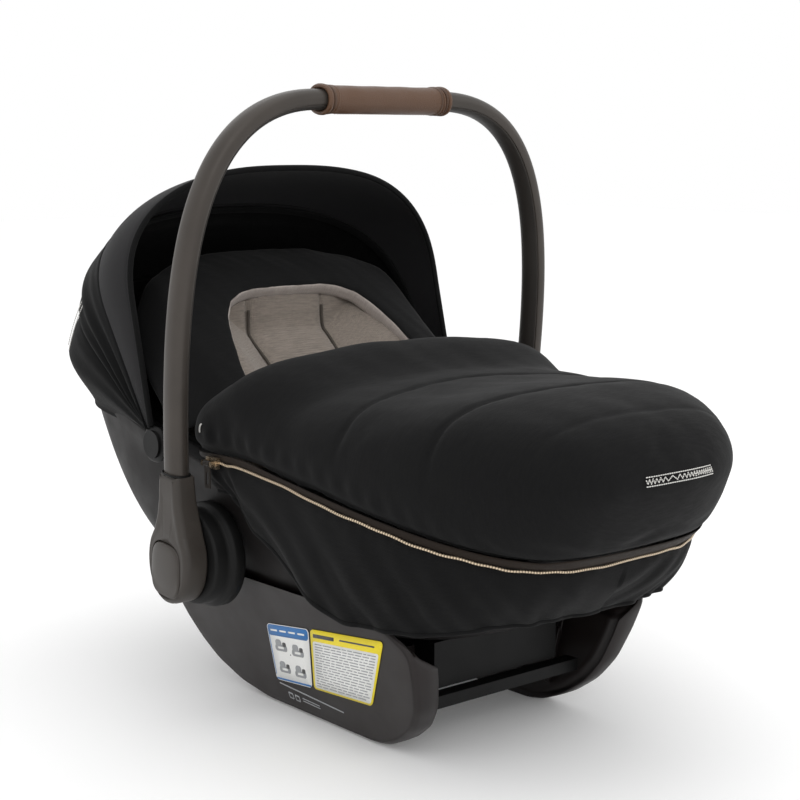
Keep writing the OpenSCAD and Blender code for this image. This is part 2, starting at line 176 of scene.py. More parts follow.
def build(name, verts, quads, tris, quad_uv=None, tri_uv=None, finish=None, around=None):
    """A smooth mesh piece from arrays of vertices, quads and triangles. Faces are turned so
    that they look away from the point around, or from the middle of the piece."""
    verts = np.asarray(verts, float)
    quads = np.asarray(quads, int).reshape(-1, 4)
    tris = np.asarray(tris, int).reshape(-1, 3)
    c = verts.mean(0) if around is None else np.asarray(around, float)
    v = verts - c
    t = np.concatenate([quads[:, [0, 1, 2]], quads[:, [0, 2, 3]], tris])
    if np.einsum("ij,ij->", v[t[:, 0]], np.cross(v[t[:, 1]], v[t[:, 2]])) < 0:
        quads, tris = quads[:, ::-1], tris[:, ::-1]
        quad_uv = None if quad_uv is None else quad_uv[:, ::-1]
        tri_uv = None if tri_uv is None else tri_uv[:, ::-1]
    me = bpy.data.meshes.new(name)
    me.vertices.add(len(verts))
    me.vertices.foreach_set("co", verts.astype(np.float32).ravel())
    me.loops.add(quads.size + tris.size)
    me.loops.foreach_set("vertex_index",
                         np.concatenate([quads.ravel(), tris.ravel()]).astype(np.int32))
    me.polygons.add(len(quads) + len(tris))
    me.polygons.foreach_set("loop_start", np.concatenate(
        [np.arange(len(quads)) * 4, quads.size + np.arange(len(tris)) * 3]).astype(np.int32))
    me.update(calc_edges=True)
    if quad_uv is not None:
        uv = [quad_uv.reshape(-1, 2)] + ([tri_uv.reshape(-1, 2)] if tri_uv is not None else [])
        me.uv_layers.new(name="Cloth").data.foreach_set(
            "uv", np.concatenate(uv).astype(np.float32).ravel())
    me.validate()
    me.shade_smooth()
    obj = bpy.data.objects.new(name, me)
    bpy.context.scene.collection.objects.link(obj)
    if finish is not None:
        me.materials.append(finish)
    return obj


def grid(name, p, finish, wrap=False, poles=False, around=None):
    """A surface over a grid of points in metres. Its UV map holds lengths in metres along
    the grid's two ways. wrap joins the last column to the first, and poles close the first
    and last rows to their middles."""
    p = np.asarray(p, float)
    m, n, _ = p.shape
    cols = n if wrap else n - 1
    i, j = (a.ravel() for a in np.meshgrid(np.arange(m - 1), np.arange(cols), indexing="ij"))
    k = (j + 1) % n
    quads = np.stack([i * n + j, (i + 1) * n + j, (i + 1) * n + k, i * n + k], 1)
    rows = np.concatenate([p, p[:, :1]], 1) if wrap else p
    step = np.linalg.norm(np.diff(rows, axis=1), axis=2)
    u = np.concatenate([[0], np.cumsum(step[step.sum(1).argmax()])])
    v = np.concatenate([[0], np.cumsum(np.linalg.norm(np.diff(p, axis=0), axis=2).mean(1))])
    quad_uv = np.stack([np.stack([u[j], v[i]], 1), np.stack([u[j], v[i + 1]], 1),
                        np.stack([u[j + 1], v[i + 1]], 1), np.stack([u[j + 1], v[i]], 1)], 1)
    verts, tris, tri_uv = p.reshape(-1, 3), np.zeros((0, 3), int), None
    if poles:
        a, b = m * n, m * n + 1
        c = np.arange(n)
        d = (c + 1) % n
        verts = np.concatenate([verts, p[:1].mean(1), p[-1:].mean(1)])
        tris = np.concatenate([np.stack([np.full(n, a), c, d], 1),
                               np.stack([np.full(n, b), (m - 1) * n + d, (m - 1) * n + c], 1)])
        e = np.append(u, u[-1])
        tri_uv = np.concatenate(
            [np.stack([np.stack([u[c], u[c] * 0 + v[0]], 1), np.stack([u[c], u[c] * 0 + v[0]], 1),
                       np.stack([e[c + 1], u[c] * 0 + v[0]], 1)], 1),
             np.stack([np.stack([u[c], u[c] * 0 + v[-1]], 1),
                       np.stack([e[c + 1], u[c] * 0 + v[-1]], 1),
                       np.stack([u[c], u[c] * 0 + v[-1]], 1)], 1)])
    return build(name, verts, quads, tris, quad_uv, tri_uv, finish, around)


def tube(name, path, across, radius_a, radius_b, finish, closed=False, sides=20, power=2.0):
    """An oval profile carried along a path: radius_a along the across vectors and radius_b
    square to them and to the path. Closed paths join up, open ones end in poles."""
    p = np.asarray(path, float)
    way = np.roll(p, -1, 0) - np.roll(p, 1, 0) if closed else np.gradient(p, axis=0)
    way = unit(way)
    a = np.broadcast_to(np.asarray(across, float), p.shape)
    a = unit(a - (a * way).sum(1, keepdims=True) * way)
    b = np.cross(way, a)
    t = np.linspace(0, 2 * math.pi, sides, endpoint=False)
    ra, rb = (np.broadcast_to(np.asarray(r, float), len(p))[:, None, None]
              for r in (radius_a, radius_b))
    q = (p[:, None] + ra * curve(np.cos(t), power)[None, :, None] * a[:, None]
         + rb * curve(np.sin(t), power)[None, :, None] * b[:, None])
    if closed:
        q = q.transpose(1, 0, 2)     # rows run along the path, so that the seam closes both ways
        q = np.concatenate([q, q[:1]])
        return grid(name, placed(q), finish, wrap=True)
    return grid(name, placed(q), finish, wrap=True, poles=True)


def pill(name, centre, half, power, finish, turn=None, n=40):
    """A rounded block: a superellipsoid of those half sizes, turned by a 3x3 matrix."""
    a = np.linspace(-math.pi / 2, math.pi / 2, n // 2 + 2)[1:-1, None]
    b = np.linspace(0, 2 * math.pi, n, endpoint=False)[None]
    e = 2 / power
    s = lambda v: np.sign(v) * np.abs(v) ** e
    p = stack(half[0] * s(np.cos(a)) * s(np.cos(b)), half[1] * s(np.cos(a)) * s(np.sin(b)),
              half[2] * s(np.sin(a)) + 0 * b)
    if turn is not None:
        p = p @ np.asarray(turn).T
    return grid(name, placed(p + np.asarray(centre, float)), finish, wrap=True, poles=True)


def stitches(name, path, up, finish, pitch=3.0, length=2.1, thick=.42):
    """A row of sewn stitches: a small eight-sided grain every pitch along the path, laid
    on the vectors up."""
    p = np.asarray(path, float)
    s = np.concatenate([[0], np.cumsum(np.linalg.norm(np.diff(p, axis=0), axis=1))])
    at = np.arange(pitch / 2, s[-1], pitch)
    up = np.broadcast_to(np.asarray(up, float), p.shape)
    c, u = (np.stack([np.interp(at, s, q[:, k]) for k in range(3)], 1) for q in (p, up))
    d = np.stack([np.interp(at + .2, s, p[:, k]) - np.interp(at - .2, s, p[:, k])
                  for k in range(3)], 1)
    d, u = unit(d), unit(u)
    w = np.cross(d, u)
    a = np.linspace(0, math.pi, 6)[1:-1]
    b = np.linspace(0, 2 * math.pi, 8, endpoint=False)
    shape = [(-1, 0, 0)] + [(-math.cos(i), math.sin(i) * math.cos(j), math.sin(i) * math.sin(j))
                            for i in a for j in b] + [(1, 0, 0)]
    g = np.array(shape) * [length / 2, thick, thick]
    v = (c[:, None] + g[None, :, :1] * d[:, None] + g[None, :, 1:2] * w[:, None]
         + g[None, :, 2:] * u[:, None])
    j = np.arange(8)
    k = (j + 1) % 8
    tris = np.concatenate([np.stack([j * 0, 1 + k, 1 + j], 1),
                           np.stack([j * 0 + 33, 25 + j, 25 + k], 1)])
    quads = np.concatenate([np.stack([1 + 8 * r + j, 1 + 8 * r + k, 9 + 8 * r + k, 9 + 8 * r + j],
                                     1)
                            for r in range(3)])
    off = (np.arange(len(c)) * 34)[:, None, None]
    return build(name, placed(v.reshape(-1, 3)), (quads[None] + off).reshape(-1, 4),
                 (tris[None] + off).reshape(-1, 3), finish=finish)


def joined(name, parts):
    """Several mesh pieces made into one object."""
    with bpy.context.temp_override(active_object=parts[0], selected_editable_objects=parts,
                                   selected_objects=parts, object=parts[0]):
        bpy.ops.object.join()
    parts[0].name = parts[0].data.name = name
    return parts[0]


def thicken(obj, by, offset=-1.0):
    """A wall on a sheet, inward where offset is -1."""
    m = obj.modifiers.new("Wall", "SOLIDIFY")
    m.thickness, m.offset, m.use_rim = by / 1000, offset, True
    return obj


def swell(obj, voxel=5.5, pressure=4.0, cap=6.0, frames=20):
    """Blows a closed pad up like stuffed cloth: voxel remesh, cloth with inner pressure and
    no gravity, each point held within cap of where it was, and the result kept as the mesh."""
    scene = bpy.context.scene
    m = obj.modifiers.new("Remesh", "REMESH")
    m.mode, m.voxel_size, m.use_smooth_shade = "VOXEL", voxel / 1000, True
    dg = bpy.context.evaluated_depsgraph_get()
    mesh = bpy.data.meshes.new_from_object(obj.evaluated_get(dg))
    obj.modifiers.clear()
    finish = obj.data.materials[0]
    obj.data = mesh
    mesh.materials.clear()
    mesh.materials.append(finish)
    rest = np.empty(len(mesh.vertices) * 3)
    mesh.vertices.foreach_get("co", rest)
    m = obj.modifiers.new("Cloth", "CLOTH")
    m.settings.quality = 5
    m.settings.mass = .2
    m.settings.use_pressure = True
    m.settings.uniform_pressure_force = pressure
    m.settings.effector_weights.gravity = 0
    m.collision_settings.use_collision = False
    m.collision_settings.use_self_collision = False
    m.point_cache.frame_start, m.point_cache.frame_end = 1, frames
    for f in range(1, frames + 1):
        scene.frame_set(f)
    dg = bpy.context.evaluated_depsgraph_get()
    done = obj.evaluated_get(dg).to_mesh()
    moved = np.empty(len(done.vertices) * 3)
    done.vertices.foreach_get("co", moved)
    obj.evaluated_get(dg).to_mesh_clear()
    obj.modifiers.clear()
    scene.frame_set(1)
    d = (moved - rest).reshape(-1, 3)
    far = np.linalg.norm(d, axis=1, keepdims=True)
    d *= np.minimum(1, cap / 1000 / np.maximum(far, 1e-9))
    mesh.vertices.foreach_set("co", (rest.reshape(-1, 3) + d).ravel())
    mesh.update()
    m = obj.modifiers.new("Subdivision", "SUBSURF")
    m.levels = m.render_levels = 1
    mesh = bpy.data.meshes.new_from_object(
        obj.evaluated_get(bpy.context.evaluated_depsgraph_get()))
    obj.modifiers.clear()
    obj.data = mesh
    mesh.shade_smooth()
    return obj


def reshape(obj, rule):
    """Moves every point of a mesh: rule takes points in millimetres from the handle axis
    and their normals, and gives the moves."""
    me = obj.data
    co, no = np.empty(len(me.vertices) * 3), np.empty(len(me.vertices) * 3)
    me.vertices.foreach_get("co", co)
    me.vertex_normals.foreach_get("vector", no)
    p = (co.reshape(-1, 3) - [0, AXIS_Y, 0]) * 1000
    me.vertices.foreach_set("co", (co.reshape(-1, 3) + rule(p, no.reshape(-1, 3)) / 1000).ravel())
    me.update()
    return obj


def measured(p):
    """Of a grid of points: its rows' lengths, its longest column and its area, in metres."""
    across, down = np.diff(p, axis=1), np.diff(p, axis=0)
    area = np.linalg.norm(np.cross(down[:, :-1], across[:-1]), axis=2).sum() / 1e6
    return (np.linalg.norm(across, axis=2).sum(1) / 1000,
            float(np.linalg.norm(down, axis=2).sum(0).max()) / 1000, float(area))


# ---- finishes ----

class Finish:
    """A material as a small tree of nodes round one Principled shader."""

    def __init__(self, name, rough=.5, metal=0.0, sheen=0.0, coat=0.0, specular=.5):
        self.m = bpy.data.materials.new(name)
        self.m.use_nodes = True
        self.t = self.m.node_tree
        self.s = self.t.nodes["Principled BSDF"]
        for key, v in (("Roughness", rough), ("Metallic", metal), ("Sheen Weight", sheen),
                       ("Coat Weight", coat), ("Specular IOR Level", specular),
                       ("Sheen Roughness", .45), ("Coat Roughness", .25)):
            self.s.inputs[key].default_value = v
        self.where = self.add("ShaderNodeTexCoord")

    def add(self, kind, **inputs):
        node = self.t.nodes.new(kind)
        for key, v in inputs.items():
            if hasattr(node, key) and not isinstance(v, bpy.types.NodeSocket):
                setattr(node, key, v)
            else:
                self.plug(node.inputs[key.replace("_", " ")], v)
        return node

    def plug(self, socket, v):
        if isinstance(v, bpy.types.NodeSocket):
            self.t.links.new(v, socket)
        else:
            socket.default_value = v

    def coords(self, cloth, scale=(1, 1, 1), turn=0.0):
        node = self.add("ShaderNodeMapping")
        self.t.links.new(self.where.outputs["UV" if cloth else "Object"], node.inputs["Vector"])
        node.inputs["Scale"].default_value = scale
        node.inputs["Rotation"].default_value = (0, 0, turn)
        return node.outputs["Vector"]

    def noise(self, at, scale, detail=3.0, rough=.55):
        node = self.add("ShaderNodeTexNoise", Vector=at, Scale=scale, Detail=detail)
        node.inputs["Roughness"].default_value = rough
        return node.outputs["Fac"]

    def bands(self, at, pitch, way="X", bend=0.0):
        """Bands of that pitch in metres along one way."""
        node = self.add("ShaderNodeTexWave", Vector=at, Scale=.3142 / pitch)
        node.wave_type, node.bands_direction, node.wave_profile = "BANDS", way, "SIN"
        node.inputs["Distortion"].default_value = bend
        return node.outputs["Fac"]

    def mix(self, fac, a, b):
        node = self.add("ShaderNodeMix")
        node.data_type = "RGBA"
        self.plug(node.inputs[0], fac)
        self.plug(node.inputs[6], (*a, 1) if isinstance(a, tuple) else a)
        self.plug(node.inputs[7], (*b, 1) if isinstance(b, tuple) else b)
        return node.outputs[2]

    def sum(self, a, b, how="ADD"):
        node = self.add("ShaderNodeMath")
        node.operation = how
        self.plug(node.inputs[0], a)
        self.plug(node.inputs[1], b)
        return node.outputs[0]

    def spread(self, fac, low, high):
        node = self.add("ShaderNodeMapRange")
        self.plug(node.inputs["Value"], fac)
        node.inputs["From Min"].default_value, node.inputs["From Max"].default_value = .3, .7
        node.inputs["To Min"].default_value, node.inputs["To Max"].default_value = low, high
        return node.outputs["Result"]

    def colour(self, v):
        self.plug(self.s.inputs["Base Color"], v)

    def rough(self, v):
        self.plug(self.s.inputs["Roughness"], v)

    def relief(self, height, depth, strength=1.0):
        node = self.add("ShaderNodeBump", Height=height)
        node.inputs["Distance"].default_value = depth
        node.inputs["Strength"].default_value = strength
        self.t.links.new(node.outputs["Normal"], self.s.inputs["Normal"])


def shade(c, by):
    return tuple(min(1, v * by) for v in c)


def woven(name, colour, pitch=.0011, cloth=True, sheen=.04, rough=.78, depth=.00022):
    """Plain weave: threads both ways, slubs, and broad fading."""
    f = Finish(name, rough, sheen=sheen, specular=.12)
    at = f.coords(cloth)
    if cloth:
        weave = f.sum(f.bands(at, pitch), f.bands(at, pitch, "Y"), "MULTIPLY")
    else:
        weave = f.noise(at, 1 / pitch, 2, .7)
    slub = f.noise(f.coords(cloth, (1, 9, 1)), 90)
    broad = f.noise(f.coords(False), 9, 2)
    tone = f.mix(f.spread(slub, .2, .8), shade(colour, .72), shade(colour, 1.3))
    f.colour(f.mix(f.spread(broad, 0, .6), tone,
                   f.mix(weave, shade(colour, .6), shade(colour, 1.45))))
    f.rough(f.spread(slub, rough - .08, rough + .08))
    f.relief(f.sum(weave, f.sum(slub, .5, "MULTIPLY")), depth, .6)
    return f.m


def melange(name, colour):
    """Knit of light and dark yarns that run in short streaks across the piece."""
    f = Finish(name, .85, sheen=.3, specular=.25)
    at = f.coords(False, (22, 190, 190))
    streak = f.noise(at, 3.2, 4, .65)
    fine = f.noise(f.coords(False, (120, 700, 700)), 1.6, 2)
    broad = f.noise(f.coords(False), 12, 2)
    tone = f.mix(f.spread(streak, 0, 1), shade(colour, .66), shade(colour, 1.28))
    tone = f.mix(f.spread(fine, 0, .5), tone, shade(colour, .8))
    f.colour(f.mix(f.spread(broad, 0, .25), tone, shade(colour, 1.2)))
    knit = f.sum(f.bands(f.coords(False), .0016, "X", 1.2),
                 f.bands(f.coords(False), .0019, "Z", .8), "ADD")
    f.relief(f.sum(knit, streak), .0003, .5)
    return f.m


def moulded(name, colour, rough=.45, grain=1100, depth=.00008, coat=0.0, specular=.32):
    """Moulded plastic with a fine spark-eroded grain and handling marks."""
    f = Finish(name, rough, coat=coat, specular=specular)
    at = f.coords(False)
    pits = f.noise(at, grain, 2)
    marks = f.noise(at, 26, 4)
    f.colour(f.mix(f.spread(marks, 0, 1), shade(colour, .9), shade(colour, 1.12)))
    f.rough(f.spread(marks, rough - .06, rough + .07))
    f.relief(pits, depth, .5)
    return f.m


def metal(name, colour, rough=.3, brushed=True):
    """Satin metal with fine drawn lines and slight cloudiness."""
    f = Finish(name, rough, metal=1.0)
    lines = f.noise(f.coords(False, (30, 900, 900) if brushed else (400, 400, 400)), 2.2, 3)
    cloud = f.noise(f.coords(False), 14, 3)
    f.colour(f.mix(f.spread(cloud, 0, 1), shade(colour, .92), shade(colour, 1.1)))
    f.rough(f.spread(lines, rough - .05, rough + .08))
    f.relief(lines, .00003, .3)
    return f.m


def anodised(name, colour, rough=.42):
    """Dark anodised tube: part metal, part dyed layer, with a satin drawn grain."""
    f = Finish(name, rough, metal=.35, specular=.4)
    lines = f.noise(f.coords(True, (700, 12, 1)), 2, 3)
    cloud = f.noise(f.coords(False), 17, 3)
    f.colour(f.mix(f.spread(cloud, 0, 1), shade(colour, .9), shade(colour, 1.12)))
    f.rough(f.spread(lines, rough - .06, rough + .07))
    f.relief(f.noise(f.coords(False), 1500, 2), .00003, .4)
    return f.m


def hide(name, colour):
    """Aniline leather: pebbled cells, pores, uneven dye, and painted shade that darkens the creases
    between the cells.
    """
    f = Finish(name, .46, coat=.06, specular=.5)
    at = f.coords(False)
    cells = f.add("ShaderNodeTexVoronoi", Vector=at, Scale=620.0)
    cells.feature = "DISTANCE_TO_EDGE"
    edge = f.spread(cells.outputs["Distance"], 0, 1)
    dye = f.noise(at, 34, 5)
    pores = f.noise(at, 900, 2)
    tone = f.mix(f.spread(dye, 0, 1), shade(colour, .68), shade(colour, 1.22))
    # painted shade: the colour goes darker toward the cell edges, in the creases between the
    # pebbles
    f.colour(f.mix(f.sum(edge, .45, "MULTIPLY"), shade(colour, .55), tone))
    f.rough(f.spread(dye, .4, .56))
    f.relief(f.sum(f.sum(cells.outputs["Distance"], 2.5, "MULTIPLY"), f.sum(pores, .3, "MULTIPLY")),
             .0004, .55)
    return f.m


def printed(name, colour):
    """Printed film: even ink with a faint paper tooth."""
    f = Finish(name, .42, specular=.4)
    tooth = f.noise(f.coords(False), 1400, 2)
    f.colour(f.mix(f.spread(tooth, 0, 1), shade(colour, .93), shade(colour, 1.03)))
    f.relief(tooth, .00002, .3)
    return f.m


def beaded(name, colour):
    """Expanded foam: packed beads with dark seams between them."""
    f = Finish(name, .8)
    cells = f.add("ShaderNodeTexVoronoi", Vector=f.coords(False), Scale=260.0)
    f.colour(f.mix(f.spread(cells.outputs["Distance"], 0, 1), colour, shade(colour, .8)))
    f.relief(cells.outputs["Distance"], .0006, .5)
    return f.m


def toothed(name, colour):
    """Metal coil zip: a tooth every millimetre and a half along the seam."""
    f = Finish(name, .3, metal=.85)
    at = f.coords(True)
    teeth = f.bands(at, .0024, "Y")
    f.colour(f.mix(teeth, shade(colour, .45), shade(colour, 1.25)))
    f.rough(f.spread(f.noise(f.coords(False), 60), .26, .4))
    f.relief(teeth, .0007, .8)
    return f.m


FINISHES = {}


def finish(key):
    """The named finish, made on first use from the colours in the panel."""
    if key not in FINISHES:
        c = {p: tuple(getattr(bpy.context.scene.seat_colours, p)) for p in
             ("cover", "charcoal", "liner", "binding", "base", "bronze", "leather", "zip", "tape")}
        make = {
            "cover": lambda: woven("cover_softshell", c["cover"], cloth=False),
            "cover_sheet": lambda: woven("cover_cloth", c["cover"]),
            "canopy": lambda: woven("canopy_cloth", shade(c["cover"], .9), .0012, sheen=.03),
            "charcoal": lambda: woven("canopy_side_cloth", c["charcoal"], .0013, sheen=.05),
            "binding": lambda: woven("window_binding", c["binding"], .0009, sheen=.2, rough=.7),
            "lining": lambda: melange("seat_liner_knit", c["liner"]),
            # dark cord in the insert's seams: painted shade of the seam creases
            "seam": lambda: woven("insert_seam_painted_shade", shade(c["liner"], .3), cloth=False),
            "tape": lambda: woven("zip_tape", c["tape"], .0008, sheen=.05, rough=.6),
            "webbing": lambda: woven("harness_webbing", (.02, .02, .022), .0018, sheen=.1, rough=.6,
                                     depth=.0004),
            "thread": lambda: woven("tag_thread", (.62, .61, .58), .0006, cloth=False, sheen=.1,
                                    rough=.6),
            "black_thread": lambda: woven("seam_thread", (.03, .03, .03), .0006, cloth=False,
                                          sheen=.1),
            "tan_thread": lambda: woven("grip_thread", (.2, .1, .05), .0006, cloth=False, sheen=.1),
            "base": lambda: moulded("rocker_plastic", c["base"], .42),
            "shell": lambda: moulded("shell_plastic", shade(c["base"], .35), .55, specular=.18),
            "black": lambda: moulded("black_plastic", (.004, .004, .004), .5, specular=.18),
            "hub": lambda: moulded("hub_plastic", shade(c["bronze"], .75), .42, 1500),
            "button": lambda: moulded("button_plastic", shade(c["bronze"], .8), .36, 1700),
            "bronze": lambda: anodised("handle_bronze", c["bronze"]),
            # darker bronze: the zip pull's own colour, and painted shade on the handle's inner
            # strip
            "bronze_dark_and_inner_shade": lambda: moulded("dark_bronze_and_handle_shade", shade(c["bronze"], .4), .5, 1500),
            "leather": lambda: hide("grip_leather", c["leather"]),
            "leather_dark": lambda: hide("grip_leather_edge", shade(c["leather"], .7)),
            "steel": lambda: metal("latch_steel", (.5, .5, .51), .3),
            "red": lambda: moulded("buckle_red", (.5, .025, .015), .35, 900),
            # black foam: the foam's own black, kept this dark also so that where it shows past the
            # liner it reads as painted shadow
            "foam": lambda: beaded("foam_beads_black_and_shade", (.012, .012, .0125)),
            "teeth": lambda: toothed("zip_teeth", c["zip"]),
            "slider": lambda: metal("zip_slider_metal", c["zip"], .28, False),
            "enamel": lambda: moulded("loop_cord", (.6, .59, .56), .5, 800),
            "white": lambda: printed("label_white", (.8, .8, .78)),
            "blue": lambda: printed("label_blue", (.03, .16, .42)),
            "yellow": lambda: printed("label_yellow", (.85, .68, .02)),
            "ink": lambda: printed("label_ink", (.3, .31, .32)),
            "dark_ink": lambda: printed("label_dark_ink", (.06, .06, .06)),
        }
        FINISHES[key] = make[key]()
    return FINISHES[key]


def belongs(obj, body, slot, *nodes):
    """Rides on a body and stands for CAD nodes; slot is not used."""
    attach(obj, body)
    if nodes:
        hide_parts(*nodes)
    return obj


def coat_nodes(key, *nodes):
    """Gives CAD nodes a finish."""
    for n in nodes:
        o = frame["nodes"][n]
        o.data.materials.clear()
        o.data.materials.append(finish(key))
        for p in o.data.polygons:
            p.material_index = 0


# ---- rules of the seat ----

def rim_z(y):
    """Height of the shell rim: a slow rise from the foot end, a step up at the head."""
    return 195 + 40 * ramp(y, -330, -60) + 15 * ramp(y, -20, 80) + 54 * ramp(y, 60, 290)


def under_z(y):
    return 96 + .0012 * np.maximum(0, y - 40) ** 2 + .0006 * np.maximum(0, -170 - y) ** 2


def seat_z(y):
    t = y + 40
    return 126 + .29 * (t + np.sqrt(t * t + 3600))


def bucket(a, s, off, sink, drop=0.0, lip=0.0):
    """The bucket rule: a squared-off plan, scaled by s, that rises with the eighth power of
    s from the bottom to the rim. off shrinks the plan, sink is a depth under the seat's
    own surface, or None on the underside of the shell, and lip swells the plan."""
    head = np.sin(a) > 0
    n = np.where(head, 4.4, 3.4)
    c, d = curve(np.cos(a), n), curve(np.sin(a), n)
    reach = np.where(head, 324 - off, 298 - off)
    y = MID_Y + s * reach * d
    bottom = under_z(y) + off if sink is None else seat_z(y) - sink
    top = rim_z(y) - drop
    return stack((s * (172 - off) + lip) * c, y + lip * d, bottom + (top - bottom) * s ** RIM_TURN)


def on_seat(x, y):
    """Height of the seat's surface: the bucket rule turned round, which finds the scale s of
    the ring through x, y first."""
    reach = np.where(y > MID_Y, 294, 268)
    n = np.where(y > MID_Y, 4.4, 3.4)
    s = ((np.abs(x) / 142) ** n + (np.abs(y - MID_Y) / reach) ** n) ** (1 / n)
    return seat_z(y) + (rim_z(y) - .5 - seat_z(y)) * np.minimum(s, 1) ** RIM_TURN


def plan_angles(n):
    return even_angles(lambda a: bucket(a, 1.0, 0, None)[:, :2], n)


def edge_z(x, y):
    return zip_z(y) + 46 * ramp(y, -40, 10) * ramp(172 - np.abs(x), 0, 40)


def zip_z(y):
    return 245 - 57 * np.clip((-60 - y) / 285, 0, 1) ** 1.5


def crest_z(y):
    return 312 + 24 * ramp(y, -130, -60) + 12 * ramp(-y, 180, 300) - 33 * ramp(y, -62, 18)


COVER_LEVELS = [[184, 348, 0], [187, 372, .18], [188, 391.5, .42], [184, 391, .6],
                [171, 377, .76], [146, 346, .87], [112, 298, .935], [72, 232, .975],
                [34, 160, .998], [1, 110, 1]]


def cover_at(a, q, thick=0.0):
    """The leg cover: squared-off rings whose width, reach and height run through the level
    table at row q, a blunt back and a round foot. thick moves the ring inside."""
    half, reach, h = np.moveaxis(through(COVER_LEVELS, q), -1, 0)
    half, reach = np.maximum(.5, half - thick), reach - thick
    back = np.sin(a) > 0
    n = np.where(back, 7, 2.9)
    x = half * curve(np.cos(a), n)
    d = curve(np.sin(a), n)
    y = COVER_MID + np.where(back, np.minimum(78, reach) * (.84 if thick else 1), reach - 60) * d
    low = edge_z(x, y)
    return stack(x, y, low + h * (crest_z(y) - low) - thick * h)


def cover_skin(a, q):
    """Points of the cover's foot end, and their outward normals."""
    p = cover_at(a, q)
    no = facing(p)
    return p, no if no[..., 1].mean() < 0 else -no


def cover_seams(p):
    """Depth of the sewn lines across the cover and the fill between them: two channels that
    sweep toward the foot at the sides, and a faint one over the toes."""
    x, y, z = p[..., 0], p[..., 1], p[..., 2]
    side = np.abs(x) / 188
    lines = (-155 - 40 * side ** 1.5, -274 - 14 * side ** 2, -352)
    depth = (2.4, 2.6, .8)
    d = np.zeros_like(x)
    for at, deep in zip(lines, depth):
        d = d - deep * bump(y, at, 3.2) - deep * .35 * bump(y, at, 13)
    low = z - zip_z(y)
    pucker = .9 * np.sin(y / 3.4 + 2.2 * np.sin(x / 17)) * bump(low, 22, 8)
    lip = 3.0 * ramp(low, 9, 16) * (1 - ramp(low, 16, 60))
    high = low / np.maximum(crest_z(y) - zip_z(y), 1)
    return ramp(low, 9,
                22) * (d * ramp(high, .3, .85) + pucker + .9 * ripple(p, 95, .4)
                       + .4 * ripple(p, 41, 2.0)) + lip


def zip_at(f, out):
    """The zip's plan: f runs from -1 at the left end round the foot to 1, with short
    straight ends; out is the distance outside the cover's edge."""
    b = np.radians(270 + 90 * np.clip(f / .82, -1, 1))
    straight = np.clip((np.abs(f) - .82) / .18, 0, 1)
    return stack((184 + out) * curve(np.cos(b), 2.9),
                 COVER_MID + (288 + out) * curve(np.sin(b), 2.9) + 42 * straight)


def zip_shares(n, end=1.0):
    """n values of f at equal steps along the zip."""
    f = np.linspace(-end, end, 6001)
    p = zip_at(f, 0)
    s = np.concatenate([[0], np.cumsum(np.linalg.norm(np.diff(p, axis=0), axis=1))])
    return np.interp(np.linspace(0, s[-1], n), s, f)


def hem_z(y):
    return 128 + 10 * ramp(-y, 250, 310) + 60 * ramp(y, -190, -60) + 27 * ramp(y, -75, -40)


HOOD_LOW, HOOD_HIGH = np.array([31.0, 309.0]), np.array([160.0, 413.0])
HOOD_WAY = (HOOD_HIGH - HOOD_LOW) / np.linalg.norm(HOOD_HIGH - HOOD_LOW)


def on_hood(x, s, lift):
    """A point of the hood: x across, s up its slope, lift square to it. The slope sags
    toward its sides and rounds over at its top."""
    x, s, lift = np.broadcast_arrays(*(np.asarray(v, float) for v in (x, s, lift)))
    drop = 20 * (np.abs(x) / 170) ** 2.6 + 10 * ramp(s, 110, 170) ** 1.5 + 26 * ramp(np.abs(x), 138,
                                                                                     178)
    lift = lift - drop + 5
    return stack(x, HOOD_LOW[0] + s * HOOD_WAY[0] - lift * HOOD_WAY[1],
                 HOOD_LOW[1] + s * HOOD_WAY[1] + lift * HOOD_WAY[0])


ARCH_A = np.linspace(0, math.pi / 2, 400)
ARCH = np.concatenate([np.stack([np.linspace(16, 134, 120), np.full(120, 186.0)], 1), np.stack(
    [134 + 119 * curve(np.sin(ARCH_A), 2.6), 186 * curve(np.cos(ARCH_A), 2.6)], 1)[1:]])
ARCH_S = np.concatenate([[0], np.cumsum(np.linalg.norm(np.diff(ARCH, axis=0), axis=1))])


def canopy_at(u, turn, out):
    """The canopy: u runs from -1 at the left hinge over the top to 1 at the right, turn is
    the angle from upright toward the head, and out is the distance outside the arch."""
    u, turn, out = np.broadcast_arrays(*(np.asarray(v, float) for v in (u, turn, out)))
    s = (1 - np.abs(u)) * ARCH_S[-1]
    r = np.interp(s, ARCH_S, ARCH[:, 0])
    x = np.interp(s, ARCH_S, ARCH[:, 1])
    ahead = np.minimum(s + 1, ARCH_S[-1])
    nr, nx = (np.interp(ahead, ARCH_S, ARCH[:, k]) - np.interp(s - 1, ARCH_S, ARCH[:, k])
              for k in (0, 1))
    k = np.maximum(np.hypot(nr, nx), 1e-9)
    nr, nx = -nx / k, nr / k
    r = r + out * nr
    x = (x + out * nx) * np.where(u < 0, -1, 1)
    t = np.radians(turn)
    return stack(x, FOLD_Y + r * np.sin(t), FOLD_Z + r * np.cos(t))


TUBE_X, TUBE_Y = 9.25, 12.75      # half sizes of the handle's section
GRIP_Z = 408.0                    # height of the handle's straight top over its axis
ARM = np.array([[206, 0], [218, 180], [243, GRIP_Z], [74, GRIP_Z]], float)
LEAN = math.radians(5)


def leaned(p):
    """Turns a shape built upright on the handle axis by the handle's lean."""
    p = np.asarray(p, float)
    y, z = p[..., 1], p[..., 2]
    return np.stack([p[..., 0], y * math.cos(LEAN) - z * math.sin(LEAN),
                     HUB_Z + y * math.sin(LEAN) + z * math.cos(LEAN)], -1)


